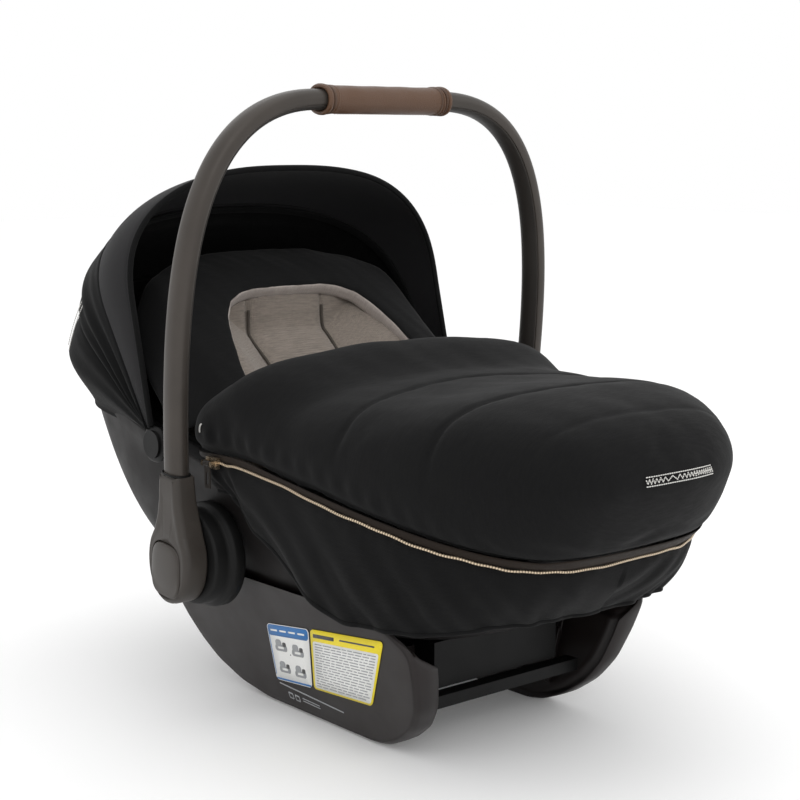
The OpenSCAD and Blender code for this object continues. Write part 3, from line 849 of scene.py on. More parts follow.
def arm_line(n):
    """The handle's centreline from the left hub over the grip to the right one, in x, z."""
    t = np.linspace(.125, 1, 900)[:, None]
    c = ((1 - t) ** 3 * ARM[0] + 3 * t * (1 - t) ** 2 * ARM[1] + 3 * t * t * (1 - t) * ARM[2]
         + t ** 3 * ARM[3])
    c = np.concatenate([c * [-1, 1], np.stack([np.linspace(-73, 73, 60), np.full(60, GRIP_Z)], 1),
                        c[::-1]])
    s = np.concatenate([[0], np.cumsum(np.linalg.norm(np.diff(c, axis=0), axis=1))])
    at = np.linspace(0, s[-1], n)
    return np.stack([np.interp(at, s, c[:, k]) for k in (0, 1)], 1)


# ---- sizes and colours in the panel ----

def length(name, text, default, low, high):
    return bpy.props.FloatProperty(name=name, description=text, default=default, min=low,
                                   max=high, unit="LENGTH", subtype="DISTANCE", precision=4)


def tint(name, text, default):
    return bpy.props.FloatVectorProperty(name=name, description=text, default=default, size=3,
                                         min=0, max=1, subtype="COLOR")


class SeatSizes(bpy.types.PropertyGroup):
    sheet_wall: length("Sheet thickness", "Thickness of the canopy and skirt cloth", .0016, .0008,
                       .003)
    fold_depth: length("Fold depth", "Depth of the loose folds in the skirt", .005, 0, .008)
    stitch_pitch: length("Stitch pitch", "Distance from one stitch to the next", .0032, .002, .006)
    binding_width: length("Window binding", "Width of the light binding of the face window", .011,
                          .006, .014)
    pad_swell: length("Pad swell", "Most that the stuffed cloth may move as it swells", .005, 0,
                      .01)


class SeatColours(bpy.types.PropertyGroup):
    cover: tint("Cover", "Black cloth of the cover and canopy", (.0045, .0045, .0047))
    charcoal: tint("Side panel", "Charcoal cloth behind the canopy's front edge",
                   (.017, .0165, .0175))
    liner: tint("Liner", "Grey-beige knit of the seat", (.24, .205, .175))
    binding: tint("Binding", "Light binding of the face window", (.42, .37, .34))
    base: tint("Base", "Plastic of the rockers", (.0115, .0082, .0078))
    bronze: tint("Bronze", "Anodised handle", (.05, .0425, .0365))
    leather: tint("Leather", "Hide of the grip", (.155, .066, .024))
    zip: tint("Zip", "Metal of the zip", (.62, .5, .36))
    tape: tint("Zip tape", "Tape that the zip is sewn to", (.014, .009, .006))


class SeatStage(bpy.types.PropertyGroup):
    azimuth: bpy.props.FloatProperty(name="Azimuth", description="Camera's way round the seat",
                                     default=math.radians(-40.01), subtype="ANGLE")
    elevation: bpy.props.FloatProperty(name="Elevation", description="Camera's height angle",
                                       default=math.radians(8.75), subtype="ANGLE")
    distance: bpy.props.FloatProperty(name="Distance", description="Camera to the target",
                                      default=1.57371, min=.5, unit="LENGTH")
    lens: bpy.props.FloatProperty(name="Lens", description="Focal length in millimetres",
                                  default=75.95, min=20)
    light: bpy.props.FloatProperty(name="Soft box", description="Strength of the main soft box",
                                   default=15, min=0)


class SEAT_OT_shell(bpy.types.Operator):
    """Moulded shell with its rolled rim, over the foam liner."""
    bl_idname = "seat.shell"
    bl_label = "Shell"
    bl_options = {"REGISTER", "UNDO"}

    def execute(self, context):
        a = plan_angles(240)[None]
        out = np.concatenate([np.linspace(.04, .7, 10), np.linspace(.74, .985, 30)])[:, None]
        rows = [bucket(a, out, 0, None, lip=2.2 * ramp(out, .975, .99))]
        for drop, lip, s in ((3.5, 3.4, 1), (1.5, 3.6, 1), (.2, 2.4, 1), (-.4, .6, 1), (0, -1.6, 1),
                             (1.4, -3.4, 1)):
            rows.append(bucket(a, 1.0, 0, None, drop, lip))
        rows.append(bucket(a, out[::-1], 4.5, None, .5))
        obj = grid("shell_skin", placed(np.concatenate(rows)), finish("shell"), wrap=True,
                   poles=True)
        belongs(obj, "seat", "shell", "shell")
        a = plan_angles(360)
        rim = bucket(a, 1.0, 0, None, 0, -1.6) + [0, 0, 1.5]
        out = bucket(a, 1.0, 0, None, 0, 1.0) - bucket(a, 1.0, 0, None, 0, 0)
        edge = tube("rim_binding", rim + .5 * ripple(rim, 30)[:, None], out, 4.4, 5.2,
                    finish("cover_sheet"), closed=True, sides=16)
        belongs(edge, "seat", "cover")
        coat_nodes("foam", "foam_liner")
        return {"FINISHED"}


ROCKER = [[122, 126], [123, 108], [121, 88], [112, 64], [98, 42], [79, 23], [46, 7], [8, 0],
          [-70, 0], [-150, 0], [-170, 3.5], [-193, 14], [-216, 31], [-231, 52], [-240, 80],
          [-245, 106],
          [-240, 114], [-228, 122], [-196, 138], [-150, 140], [122, 140]]


class SEAT_OT_rockers(bpy.types.Operator):
    """Two rocker panels with rounded edges, ribs inside, and the bar and pan between them."""
    bl_idname = "seat.rockers"
    bl_label = "Rockers"
    bl_options = {"REGISTER", "UNDO"}

    def execute(self, context):
        mid = np.array([-60.0, 76.0])
        ring = outline(ROCKER, 420, 10)[::-1]
        rows = ([(t, 5.5, 0) for t in (.08, .3, .55, .75, .88, .96)]
                + [(1, 5.5, 0), (1, 4, .25), (1, 2.6, .9), (1, 1.4, 2), (1, .6, 3.4), (1, 0, 5.2)]
                + [(1, 0, None), (1, .6, -1.4), (1, 2, -.3), (1, 3.5, 0)]
                + [(t, 3.5, -9) for t in (.97, .9, .75, .5, .25, .08)])
        for side, name in ((-1, "left"), (1, "right")):
            layers = []
            for t, by, depth in rows:
                p = mid + t * (inset(ring, by) - mid)
                y, z = p[:, 0], np.clip(p[:, 1], 0, 133)
                outer = 105 + .3516 * z
                inner = np.interp(z, [0, 92, 104, 116, 134], [84, 109, 130, 140, 150.4])
                wall = np.minimum(outer - .6, inner)
                if depth is None:
                    x = .5 * (outer + wall)
                elif depth == -9:
                    x = wall + 5 * ramp(.97 - t, 0, .06) * (z < 96)
                else:
                    x = outer - depth if depth >= 0 else wall - depth
                    x = np.maximum(x, wall)
                layers.append(stack(side * x, y, z))
            obj = grid(name + "_rocker_panel", placed(np.array(layers)), finish("base"), wrap=True,
                       poles=True)
            belongs(obj, "seat", "base", name + "_rocker")
            ribs = [pill("rib", (side * (101 if z < 60 else 113), y, z), (4.5, 3.2, 26), 6,
                         finish("base"),
                         turn=[[1, 0, side * .28], [0, 1, 0], [-side * .28, 0, 1]])
                    for y in (-168, -128, -20, 60) for z in (44, 76)]
            belongs(joined(name + "_rocker_ribs", ribs), "seat", "base")
        coat_nodes("base", "pan_rails")
        coat_nodes("black", "belly_pan", "front_cross_bar")
        coat_nodes("steel", "front_latch_pin", "rear_latch_pin", "latch_hook")
        coat_nodes("base", "release_lever")
        return {"FINISHED"}


class SEAT_OT_cover(bpy.types.Operator):
    """Padded leg cover, swollen as cloth and then quilted."""
    bl_idname = "seat.cover"
    bl_label = "Leg cover"
    bl_options = {"REGISTER", "UNDO"}

    def execute(self, context):
        sizes = context.scene.seat_sizes
        n = 260
        a = even_angles(lambda a: cover_at(a, np.zeros_like(a))[:, :2], n)[None]
        q = np.concatenate([np.linspace(9, 5, 26), np.linspace(4.9, 0, 46)])[:, None]
        p = np.concatenate([cover_at(a, q), cover_at(a, q[::-1], 12.0)])
        obj = grid("leg_cover", placed(p), finish("cover"), wrap=True, poles=True)
        swell(obj, cap=sizes.pad_swell * 1000)
        reshape(obj, lambda p,
                no: no * (cover_seams(p) * ramp(no[:, 2] * 3
                                                + (np.abs(p[:, 0]) + np.abs(p[:, 1] + 60)) / 60, 0,
                                                2))[:, None])
        belongs(obj, "seat", "cover", "cover_boot")
        return {"FINISHED"}


class SEAT_OT_skirt(bpy.types.Operator):
    """Loose cloth skirt under the zip, with drape folds and a bound hem."""
    bl_idname = "seat.skirt"
    bl_label = "Skirt"
    bl_options = {"REGISTER", "UNDO"}

    def execute(self, context):
        sizes = context.scene.seat_sizes
        f = zip_shares(420)[None]
        v = np.linspace(0, 1, 40)[:, None]
        tuck = 9 + 23 * np.maximum(0, 1 - np.abs(f) / .75) ** .8
        top, low = zip_at(f, 0), zip_at(f, -tuck)
        bulge = np.sin(math.pi * v) * 8
        plan = zip_at(f + 0 * v, -tuck * v ** 1.3 + bulge * .6)
        z = zip_z(top[..., 1]) - .6 + (hem_z(low[..., 1]) - zip_z(top[..., 1]) + .6) * v
        out = unit(zip_at(f + 0 * v, 1.0) - zip_at(f + 0 * v, 0.0))
        deep = sizes.fold_depth * 1000
        slant = f * 17 + v * 2.6 * np.sign(f)
        folds = deep * v ** .8 * (1 - v * .25) * (.5 * np.sin(slant * 2.1 + .6)
                                                  + .34 * np.sin(slant * 4.7 + 2)
                                  + .2 * np.sin(f * 71 + v * 3)) * ramp(1.02 - np.abs(f), 0, .1)
        folds = np.maximum(folds, -1.8)
        pucker = .5 * np.sin(f * 240) * np.exp(-v * 14)
        p = stack(plan[..., 0], plan[..., 1], z)
        p[..., :2] += out * (folds + pucker)[..., None]
        obj = grid("skirt", placed(p), finish("cover_sheet"), around=placed((0, -60, 200)))
        wide, tall, area = measured(p)
        thicken(obj, sizes.sheet_wall * 1000)
        belongs(obj, "seat", "cover", "cover_skirt")
        edge = p[-1] + np.array([0, 0, .4])
        hem = tube("skirt_hem", edge, np.tile([0, 0, 1.0], (len(edge), 1)), 2.4, 1.5,
                   finish("cover_sheet"), sides=12)
        belongs(hem, "seat", "cover")
        return {"FINISHED"}


class SEAT_OT_zip(bpy.types.Operator):
    """Zip round the foot: tape, metal teeth, slider, pull and the small garage loop."""
    bl_idname = "seat.zip"
    bl_label = "Zip"
    bl_options = {"REGISTER", "UNDO"}

    def execute(self, context):
        f = zip_shares(700)
        wave = .5 * np.sin(f * 31) + .3 * np.sin(f * 83 + 1)
        plan = zip_at(f, 2.6)
        line = stack(plan[:, 0], plan[:, 1], zip_z(plan[:, 1]) - 1 + wave)
        out = np.concatenate([unit(zip_at(f, 1) - zip_at(f, 0)), np.zeros((len(f), 1))], 1)
        teeth = tube("zip_teeth", line, out, 1.5, 1.25, finish("teeth"), sides=10)
        belongs(teeth, "seat", "zip", "zip_coil")
        a = np.radians(np.linspace(180 - 34, 360 + 34, 520))
        q = np.linspace(.0, .52, 8)[:, None]
        p, no = cover_skin(a[None], q)
        p = p + no * (1.3 + .5 * np.sin(np.linspace(0, 1, 8) * math.pi)[:, None, None])
        tape = thicken(grid("zip_tape", placed(p), finish("tape"), around=placed((0, -60, 200))),
                       .6)
        belongs(tape, "seat", "cover")
        coat_nodes("slider", "zip_slider")
        coat_nodes("bronze_dark_and_inner_shade", "zip_pull")
        t = np.linspace(0, 2 * math.pi, 40, endpoint=False)
        loop = stack(-188.5 + 1.8 * np.cos(t), -12 + 1.4 * np.sin(t) + 1.2 * np.cos(t),
                     272 - 3.6 * np.sin(t) - 1.4 * np.cos(t))
        loop = tube("garage_loop", loop, (1, 0, 0), .8, .6, finish("enamel"), closed=True, sides=8)
        belongs(loop, "seat", "pull")
        return {"FINISHED"}


def window_outline(n, grow=0.0):
    """The face window in the hood's plane, with rounded corners."""
    pts = [[-112, -14], [112, -14], [109, 10], [100, 48], [90, 74], [78, 93], [62, 102], [44, 106],
           [-44, 106], [-62, 102], [-78, 93], [-90, 74], [-100, 48], [-109, 10]]
    ring = star(pts, (0, 48), n, 3)
    c = np.array([0, 48.0])
    return c + (ring - c) * (1 + grow / np.linalg.norm(ring - c, axis=1, keepdims=True))


class SEAT_OT_hood(bpy.types.Operator):
    """Soft hood round the face window, and the light binding of the window."""
    bl_idname = "seat.hood"
    bl_label = "Hood"
    bl_options = {"REGISTER", "UNDO"}

    def execute(self, context):
        sizes = context.scene.seat_sizes
        n = 300
        inner = window_outline(n)
        outer = star([[-172, -34], [-120, -22], [120, -22], [172, -34], [178, 8], [176, 62],
                      [168, 104], [146, 138], [112, 158], [60, 170],
                      [-60, 170], [-112, 158], [-146, 138], [-168, 104], [-176, 62], [-178, 8]],
                     (0, 48), n, 10)
        t = np.concatenate([np.linspace(0, 1, 40), np.linspace(1, 0, 40)])[:, None]
        up = np.concatenate([np.ones(40), np.zeros(40)])[:, None]
        x = inner[:, 0] + (outer[:, 0] - inner[:, 0]) * t
        s = inner[:, 1] + (outer[:, 1] - inner[:, 1]) * t
        full = 1.2 + 5.5 * np.clip(np.sin(math.pi * np.clip(t, 0, 1)), 0, 1) ** .45
        lift = np.where(up > 0, full * .9, -full * .6)
        p = on_hood(x, s, lift)
        soft = np.sin(math.pi * np.clip(t, 0, 1)) ** .5 * up
        p += (1.6 * ripple(p, 80, 1.1) * soft)[..., None] * np.array([0, -.6, .78])
        p = np.concatenate([p, p[:1]])
        obj = grid("hood", placed(p), finish("cover"), wrap=True)
        reshape(obj, lambda p,
                no: no * (.8 * ripple(p, 46, 2.2) + .35 * ripple(p, 17, .6))[:, None])
        belongs(obj, "seat", "cover", "cover_hood")
        ring = window_outline(n)
        order = (np.arange(n) + int(np.argmin(ring[:, 1] + np.abs(ring[:, 0]) * .01))) % n
        ring = ring[order][ring[order, 1] > -4]
        mid = np.array([0, 48.0])
        way = unit(mid - ring)
        deep = sizes.binding_width * 1000
        rows = []
        for h, lean in ((1.4, -1.6), (2.2, -.2), (1.4, 1.2), (-.3 * deep, 1.5), (-.7 * deep, 1.3),
                        (-deep, 1.0), (-deep - .6, -.6), (-.6 * deep, -1.0), (-1, -1.6)):
            q = ring + way * (lean + .35 * np.sin(np.arange(len(ring)) * .37
                                                  + 2 * np.sin(np.arange(len(ring))
                                                               * .051)))[:, None]
            rows.append(on_hood(q[:, 0], q[:, 1], h - 1.5))
        rows = np.array(rows).transpose(1, 0, 2)
        bind = grid("window_binding", placed(rows), finish("binding"), wrap=True, poles=True)
        belongs(bind, "seat", "liner")
        return {"FINISHED"}


def insert_depth(x, s):
    """How far the insert lies under the hood: a flat back panel, with a wing on each side
    and a roll along the head end that come up to the window's edge."""
    wing = ramp(np.abs(x), 42, 104)
    roll = ramp(s, 78, 112)
    return 38 - 30 * np.maximum(wing, roll) - 3 * wing * roll - 3 * bump(x, 0, 60) * (1 - roll)


class SEAT_OT_liner(bpy.types.Operator):
    """Seat liner and the winged insert behind the face window, with their seams, and dark cords in
    the insert's seams as painted shade.
    """
    bl_idname = "seat.liner"
    bl_label = "Liner"
    bl_options = {"REGISTER", "UNDO"}

    def execute(self, context):
        a = plan_angles(200)[None]
        s = np.linspace(.05, 1, 40)[:, None]
        flange = [bucket(a, 1.0, off, 12.4, drop) for off,
                  drop in ((19.5, 4), (7.5, 4), (6.5, 2), (8, .2))]
        p = np.concatenate([bucket(a, s, 19.5, 12.4, 5)] + flange + [bucket(a, s[::-1], 30, 0, .5)])
        pad = grid("seat_liner", placed(p), finish("lining"), wrap=True, poles=True)
        pad.data.materials.append(finish("cover"))
        row = np.arange(len(pad.data.polygons)) // 200
        pad.data.polygons.foreach_set("material_index", ((row >= 30) & (row < 50)).astype(np.int32))
        reshape(pad, lambda p,
                no: no * (-1.2 * sum(bump(p[:, 1], y, 5) for y in (-150, -60, 30)) - .6)[:, None])
        belongs(pad, "seat", "liner", "seat_pad")
        a = even_angles(lambda a: np.stack([114 * curve(np.cos(a), 4), 82 * curve(np.sin(a), 4)],
                                           1), 240)[None]
        g = np.concatenate([np.linspace(.03, .96, 44), [.985, 1.0, 1.0, .985],
                            np.linspace(.96, .03, 12)])[:, None]
        up = np.concatenate([np.ones(44), [.9, .7, .3, .1], np.zeros(12)])[:, None]
        x, w = g * 118 * curve(np.cos(a), 4), 42 + g * 84 * curve(np.sin(a), 4)
        p = on_hood(x, w, -insert_depth(x, w))
        low = on_seat(p[..., 0], p[..., 1]) + 3
        p[..., 2] = low + up * np.maximum(p[..., 2] - low, 4)
        obj = grid("head_insert", placed(p), finish("lining"), wrap=True, poles=True)
        seam = lambda p: 3.0 * bump(np.abs(p[:, 0]), 46, 2.2) + 2.0 * bump(np.abs(p[:, 0]), 46, 9)
        reshape(obj, lambda p, no: no * (-seam(p) + .8 * ripple(p, 60, .9))[:, None])
        belongs(obj, "seat", "liner", "head_pad")
        # dark cords laid in the insert's seam creases: painted shade of the seams
        w = np.linspace(-24, 98, 90)
        lines = []
        for side in (-1, 1):
            x = side * (46 + .8 * np.sin(w / 9))
            line = on_hood(x, w, -insert_depth(x, w) - 2.6)
            lines.append(tube("s", line, (1, 0, 0), 1.5, 1.2, finish("seam"), sides=8))
        belongs(joined("insert_seam_shade_cords", lines), "seat", "liner")
        return {"FINISHED"}


class SEAT_OT_harness(bpy.types.Operator):
    """Harness webbing, chest clip and buckle on the seat."""
    bl_idname = "seat.harness"
    bl_label = "Harness"
    bl_options = {"REGISTER", "UNDO"}

    def execute(self, context):
        f = np.linspace(0, 1, 60)
        for side, name in ((-1, "left"), (1, "right")):
            x, y = side * (42 - 18 * f * f), 60 - 150 * f
            strap = tube(name + "_webbing", stack(x, y, on_seat(x, y) + 7.6), (1, 0, 0), 13, 1.2,
                         finish("webbing"), sides=24, power=5)
            belongs(strap, "seat", "webbing", name + "_strap")
        y = np.linspace(-158, -126, 12)
        crotch = tube("crotch_webbing", stack(0 * y, y, on_seat(0, -150) + 3.2 + 0 * y), (1, 0, 0),
                      14, 1.2,
                      finish("webbing"), sides=24, power=5)
        belongs(crotch, "seat", "webbing", "crotch_strap")
        coat_nodes("black", "buckle", "chest_clip")
        coat_nodes("red", "buckle_button")
        return {"FINISHED"}


class SEAT_OT_canopy(bpy.types.Operator):
    """Two curved canopy sheets that meet at the middle bow, with a bound front edge."""
    bl_idname = "seat.canopy"
    bl_label = "Canopy"
    bl_options = {"REGISTER", "UNDO"}

    def sheet(self, name, key, slot, u, turn, out, nodes, bodies, span, wall):
        p = canopy_at(u, turn, out)
        obj = grid(name, placed(p), finish(key), around=placed((0, 100, 250)))
        wide, deep, area = measured(p)
        thicken(obj, wall)
        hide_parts(*nodes)
        start, end = (canopy_at(0, t, 0) for t in span)
        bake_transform(obj)
        return p

    def execute(self, context):
        sizes = context.scene.seat_sizes
        u = np.linspace(-1, 1, 361)[None]
        side = ramp(np.abs(u), .25, .7)
        edge = 9.5 + 4.5 * side
        wall = sizes.sheet_wall * 1000
        v = np.linspace(0, 1, 46)[:, None]
        turn = edge + (35 - edge) * v
        near = np.exp(-((1 - np.abs(u)) * ARCH_S[-1] / 90))
        out = 1.6 + 4.6 * np.sin(math.pi * v) ** .8 * (1 - near) - 1.0 * bump(v, 0, .06)
        self.sheet("canopy_front_cloth", "charcoal", "canopy_side", u, turn, out, ["canopy_front"],
                   ("canopy_mid", "canopy_front"), (34, 10), wall)
        v = np.linspace(0, 1, 110)[:, None]
        last = 81 + 3 * side
        turn = 33.2 + (last - 33.2) * v
        ridge = 2.2 * bump(turn, 34.3, 1.6)
        gather = ramp(np.abs(u), .35, .8) * np.minimum(1, (1 - np.abs(u)) * 9)
        folds = 3.2 * gather * np.sin((turn - 36) / 8.2 * 2 * math.pi
                                      + 1.3 * np.abs(u)) * bump(turn, 47, 13)
        puff = 6.0 * np.sin(math.pi * np.clip((turn - 35) / 21, 0,
                                              1)) + 5.0 * np.sin(math.pi * np.clip((turn - 56) / 26,
                                                                                   0, 1)) ** .7
        out = 1.8 - 4.6 * ramp(turn, 35, 52) - 3.0 * ramp(turn, 54,
                                                          60) + ridge + (puff * (1 - near)) + folds
        out = out - 3.0 * bump(turn, 56, 1.4) - ramp(turn, 68,
                                                     84) * (12 + 26 * bump(np.abs(u), .4, .2))
        out = out + .7 * ripple(canopy_at(u, turn, 0), 60, 1.3) * (1 - near)
        top = 1 - ramp(np.abs(u), .15, .5)
        self.sheet("canopy_rear_cloth", "canopy", "canopy", u, turn,
                   out + .8 * top * np.sin(turn * .9), ["canopy_rear", "canopy_mid"],
                   ("seat", "canopy_mid"), (80, 34), wall)
        line = canopy_at(u[0], edge[0] - .2, 1.0)
        out = canopy_at(u[0], edge[0] - .2, 5.0) - line
        band = tube("canopy_edge_binding", line, out, 3.0, 2.6, finish("canopy"), sides=14)
        eyes = [pill("eye", (side * 185.2, FOLD_Y, FOLD_Z), (2.6, 17, 17), 2.6, finish("black"))
                for side in (-1, 1)]
        belongs(joined("canopy_front_edge", [band] + eyes), "canopy_front", "bow", "front_bow")
        line = canopy_at(u[0], 34.3, -3.4)
        out = canopy_at(u[0], 34.3, 1.0) - line
        wire = tube("mid_bow_strip", line, out, 1.6, 4.5, finish("canopy"), sides=14, power=4)
        eyes = [pill("eye", (side * 179, FOLD_Y, FOLD_Z), (2.4, 15, 15), 2.6, finish("black"))
                for side in (-1, 1)]
        belongs(joined("canopy_mid_bow", [wire] + eyes), "canopy_mid", "bow", "mid_bow")
        coat_nodes("black", "left_canopy_mount", "right_canopy_mount")
        return {"FINISHED"}


class SEAT_OT_handle(bpy.types.Operator):
    """Bronze handle arch with its inner strip, darker as painted shade of the arch's inner side."""
    bl_idname = "seat.handle"
    bl_label = "Handle"
    bl_options = {"REGISTER", "UNDO"}

    def section(self, angles, grow, n=420):
        """Squared oval carried along the arch, with a fine groove on each side of the inner
        strip."""
        c = arm_line(n)
        w = unit(np.gradient(c, axis=0))
        out = np.stack([-w[:, 1], w[:, 0]], 1)
        a = angles[None]
        hx, hy = TUBE_X + grow, TUBE_Y + grow
        r = 1 - .05 * (bump(a, math.radians(118), .035) + bump(a, math.radians(242), .035))
        p_out = hx * curve(np.cos(a), 2.25) * r
        y = hy * curve(np.sin(a), 2.25) * r
        return leaned(stack(c[:, :1] + p_out * out[:, :1], y, c[:, 1:] + p_out * out[:, 1:]))

    def execute(self, context):
        a = np.radians(np.concatenate([np.linspace(-115, 112, 76), np.linspace(113.5, 123, 12),
                                       np.linspace(126, 234, 26), np.linspace(237, 244, 9)]))
        p = self.section(a, 0.0)
        obj = grid("handle_arch", placed(p), finish("bronze"), wrap=True, poles=True)
        belongs(obj, "handle", "handle_metal", "handle_tube")
        # the inner strip takes the darker bronze: painted shade on the arch's inner side
        a = np.radians(np.linspace(122, 238, 40))
        strip = thicken(grid("dark_bronze_and_handle_shade", placed(self.section(a, .35)), finish("bronze_dark_and_inner_shade"),
                             around=placed((0, 0, 900))), .5)
        belongs(strip, "handle", "handle_metal")
        return {"FINISHED"}


class SEAT_OT_hubs(bpy.types.Operator):
    """Handle hubs, their press buttons and the fixed collars behind them."""
    bl_idname = "seat.hubs"
    bl_label = "Hubs"
    bl_options = {"REGISTER", "UNDO"}

    def execute(self, context):
        t = np.radians(np.linspace(-207, 27, 120))
        disc = np.stack([32 * np.cos(t), 39.5 * np.sin(t)], 1)
        body = np.concatenate([disc, [[23.5, 27], [19, 40], [15.6, 56], [14.2, 80], [-14.2, 80],
                                      [-15.6, 56], [-19, 40], [-23.5, 27]]])
        n = 640
        rim = star(body, (0, 4), n, 5)
        t = np.linspace(0, 2 * math.pi, 400, endpoint=False)
        key = np.stack([22.6 * curve(np.cos(t), 3.2), -8 + 25 * curve(np.sin(t), 3.2)], 1)
        key = star(key, (0, 4), n, 3)
        shift = lambda x, z: x + ramp(z, 28, 78) * np.where(x < 200, 4.6, 2.2)
        plan = lambda ring, x: stack(shift(np.full(n, float(x)), ring[:, 1]), ring[:, 0],
                                     ring[:, 1])
        mid = np.array([0, 4.0])
        grow = lambda ring, t: mid + t * (ring - mid)
        face = lambda ring: 221.4 - .0022 * (ring ** 2).sum(1)
        for side, name in ((-1, "left"), (1, "right")):
            rows = [plan(grow(rim, .1), 196.5), plan(grow(rim, .9), 196.5),
                    plan(inset(rim, 1.2), 196.4),
                    plan(inset(rim, .2), 197.4), plan(rim, 199), plan(rim, 213)]
            for by, x in ((.5, 216), (1.5, 218), (3, 219.4), (5, 220.2)):
                rows.append(plan(inset(rim, by), x))
            for k in (.3, .6, .85, 1):
                ring = inset(rim, 5) * (1 - k) + inset(key, -.9) * k
                rows.append(stack(np.minimum(shift(np.full(n, 220.4), ring[:, 1]),
                                             np.maximum(face(ring),
                                                        219 + 3 * ramp(ring[:, 1], 28, 78))),
                                  ring[:, 0], ring[:, 1]))
            rows += [plan(inset(key, -.6), 219), plan(inset(key, -.6), 213.4),
                     plan(grow(key, .85), 212.8), plan(grow(key, .1), 212.8)]
            p = leaned(np.array(rows)) * [side, 1, 1]
            belongs(grid(name + "_hub_body", placed(p), finish("hub"), wrap=True, poles=True),
                    "handle", "hub_bronze", name + "_hub")
            rows = [plan(grow(key, .1), 217), plan(inset(key, .4), 217), plan(key, 217.8),
                    plan(inset(key, .2), 219.6),
                    plan(inset(key, 1), 221)]
            for k in (.9, .75, .5, .25, .06):
                ring = grow(key, k)
                rows.append(stack(222.9 - .0018 * (ring ** 2).sum(1) - 1.2 * k ** 6, ring[:, 0],
                                  ring[:, 1]))
            p = leaned(np.array(rows)) * [side, 1, 1]
            belongs(grid(name + "_button_cap", placed(p), finish("button"), wrap=True, poles=True),
                    name + "_button", "button", name + "_button")
            a = np.linspace(0, 2 * math.pi, 160, endpoint=False)[None]
            prof = np.array([[4, 166], [44, 166], [47, 166.6], [48, 168.5], [48, 176], [47, 178.4],
                             [44.4, 179.6], [43.4, 181],
                             [43, 184], [43, 192.5], [42.2, 194.6], [40, 195.4], [20, 195.4],
                             [4, 195.4]])
            p = stack(side * prof[:, 1:], prof[:, :1] * np.cos(a), HUB_Z + prof[:, :1] * np.sin(a))
            belongs(grid(name + "_hub_collar", placed(p), finish("black"), wrap=True, poles=True),
                    "seat", "hub_black", name + "_hub_base")
            t = np.linspace(0, 2 * math.pi, 60, endpoint=False)
            seam = leaned(stack(side * (211.8 + 10.4 * curve(np.cos(t), 2.6)),
                                13.4 * curve(np.sin(t), 2.6), 80.2 + 0 * t))
            belongs(tube(name + "_socket_ring", seam, (0, 0, 1), .9, .7, finish("black"),
                         closed=True, sides=8), "handle", "hub_bronze")
        coat_nodes("steel", "left_axle", "right_axle")
        return {"FINISHED"}


class SEAT_OT_grip(bpy.types.Operator):
    """Leather grip with its rolled end, lacing and stitched seam."""
    bl_idname = "seat.grip"
    bl_label = "Grip"
    bl_options = {"REGISTER", "UNDO"}

    def execute(self, context):
        sizes = context.scene.seat_sizes
        x = np.concatenate([[-67, -66.8, -66], np.linspace(-64, 64, 120), [66, 66.8, 67]])[:, None]
        a = np.linspace(0, 2 * math.pi, 72, endpoint=False)[None]
        end = np.minimum(1, (67.2 - np.abs(x)) / 3) ** .5
        r = 1.2 + 2.2 * end + .25 * ripple(stack(x, 12 * np.cos(a), 12 * np.sin(a)), 30, 1)
        p = leaned(stack(x + 0 * a, (TUBE_Y + r) * curve(np.sin(a), 2.2),
                         GRIP_Z + (TUBE_X + r) * curve(np.cos(a), 2.2)))
        belongs(grid("leather_grip", placed(p), finish("leather"), wrap=True, poles=True), "handle",
                "leather", "grip_wrap")

        def ring(name, at, thick, wide, key, tilt=0.0):
            t = np.linspace(0, 2 * math.pi, 80, endpoint=False)
            path = leaned(stack(at + tilt * np.cos(t), (TUBE_Y + 2.6) * curve(np.sin(t), 2.2),
                                GRIP_Z + (TUBE_X + 2.6) * curve(np.cos(t), 2.2)))
            return tube(name, path, (1, 0, 0), wide, thick, finish(key), closed=True, sides=14)

        left = joined("grip_left_roll",
                      [ring("l1", -70.2, 2.2, 2.9, "leather"),
                       ring("l2", -65.6, 1.5, 1.6, "leather_dark"),
                       ring("l3", -61.5, 1.2, 1.2, "leather", 1.5)])
        right = joined("grip_right_roll",
                       [ring("r1", 70.6, 2.0, 2.2, "leather"),
                        ring("r2", 66.8, 1.7, 1.4, "leather_dark", .6),
                                           ring("r3", 63.6, 1.7, 1.4, "leather", -.6),
                        ring("r4", 60.4, 1.6, 1.4, "leather_dark", .6)])
        belongs(left, "handle", "leather_edge", "grip_left_collar")
        belongs(right, "handle", "leather_edge", "grip_right_collar")
        t = np.linspace(-58, 58, 60)
        rows = [stitches("s", leaned(stack(t, 0 * t + y, GRIP_Z - 12.5 + 0 * t)),
                         np.tile([0, 0, -1.0], (60, 1)), finish("tan_thread"),
                         sizes.stitch_pitch * 1000)
                for y in (-3, 3)]
        belongs(joined("grip_stitching", rows), "handle", "leather_edge")
        return {"FINISHED"}


BLUE = np.array([[-36, 90], [-104, 100], [-79, 35], [-22, 29]], float)
YELLOW = np.array([[-107, 101], [-214, 115], [-168, 42], [-82, 35.5]], float)


def on_face(y, z, lift):
    """A point on the outside of the left rocker, lift outside it."""
    return stack(-(105 + .3516 * z) - lift * .943, y, z - lift * .33)


def in_corners(corners, s, t):
    """A point between four corners: s runs from the head side to the foot side, t from the
    top to the bottom."""
    a, b, c, d = corners
    s, t = s[..., None], t[..., None]
    return (1 - t) * ((1 - s) * a + s * b) + t * ((1 - s) * d + s * c)


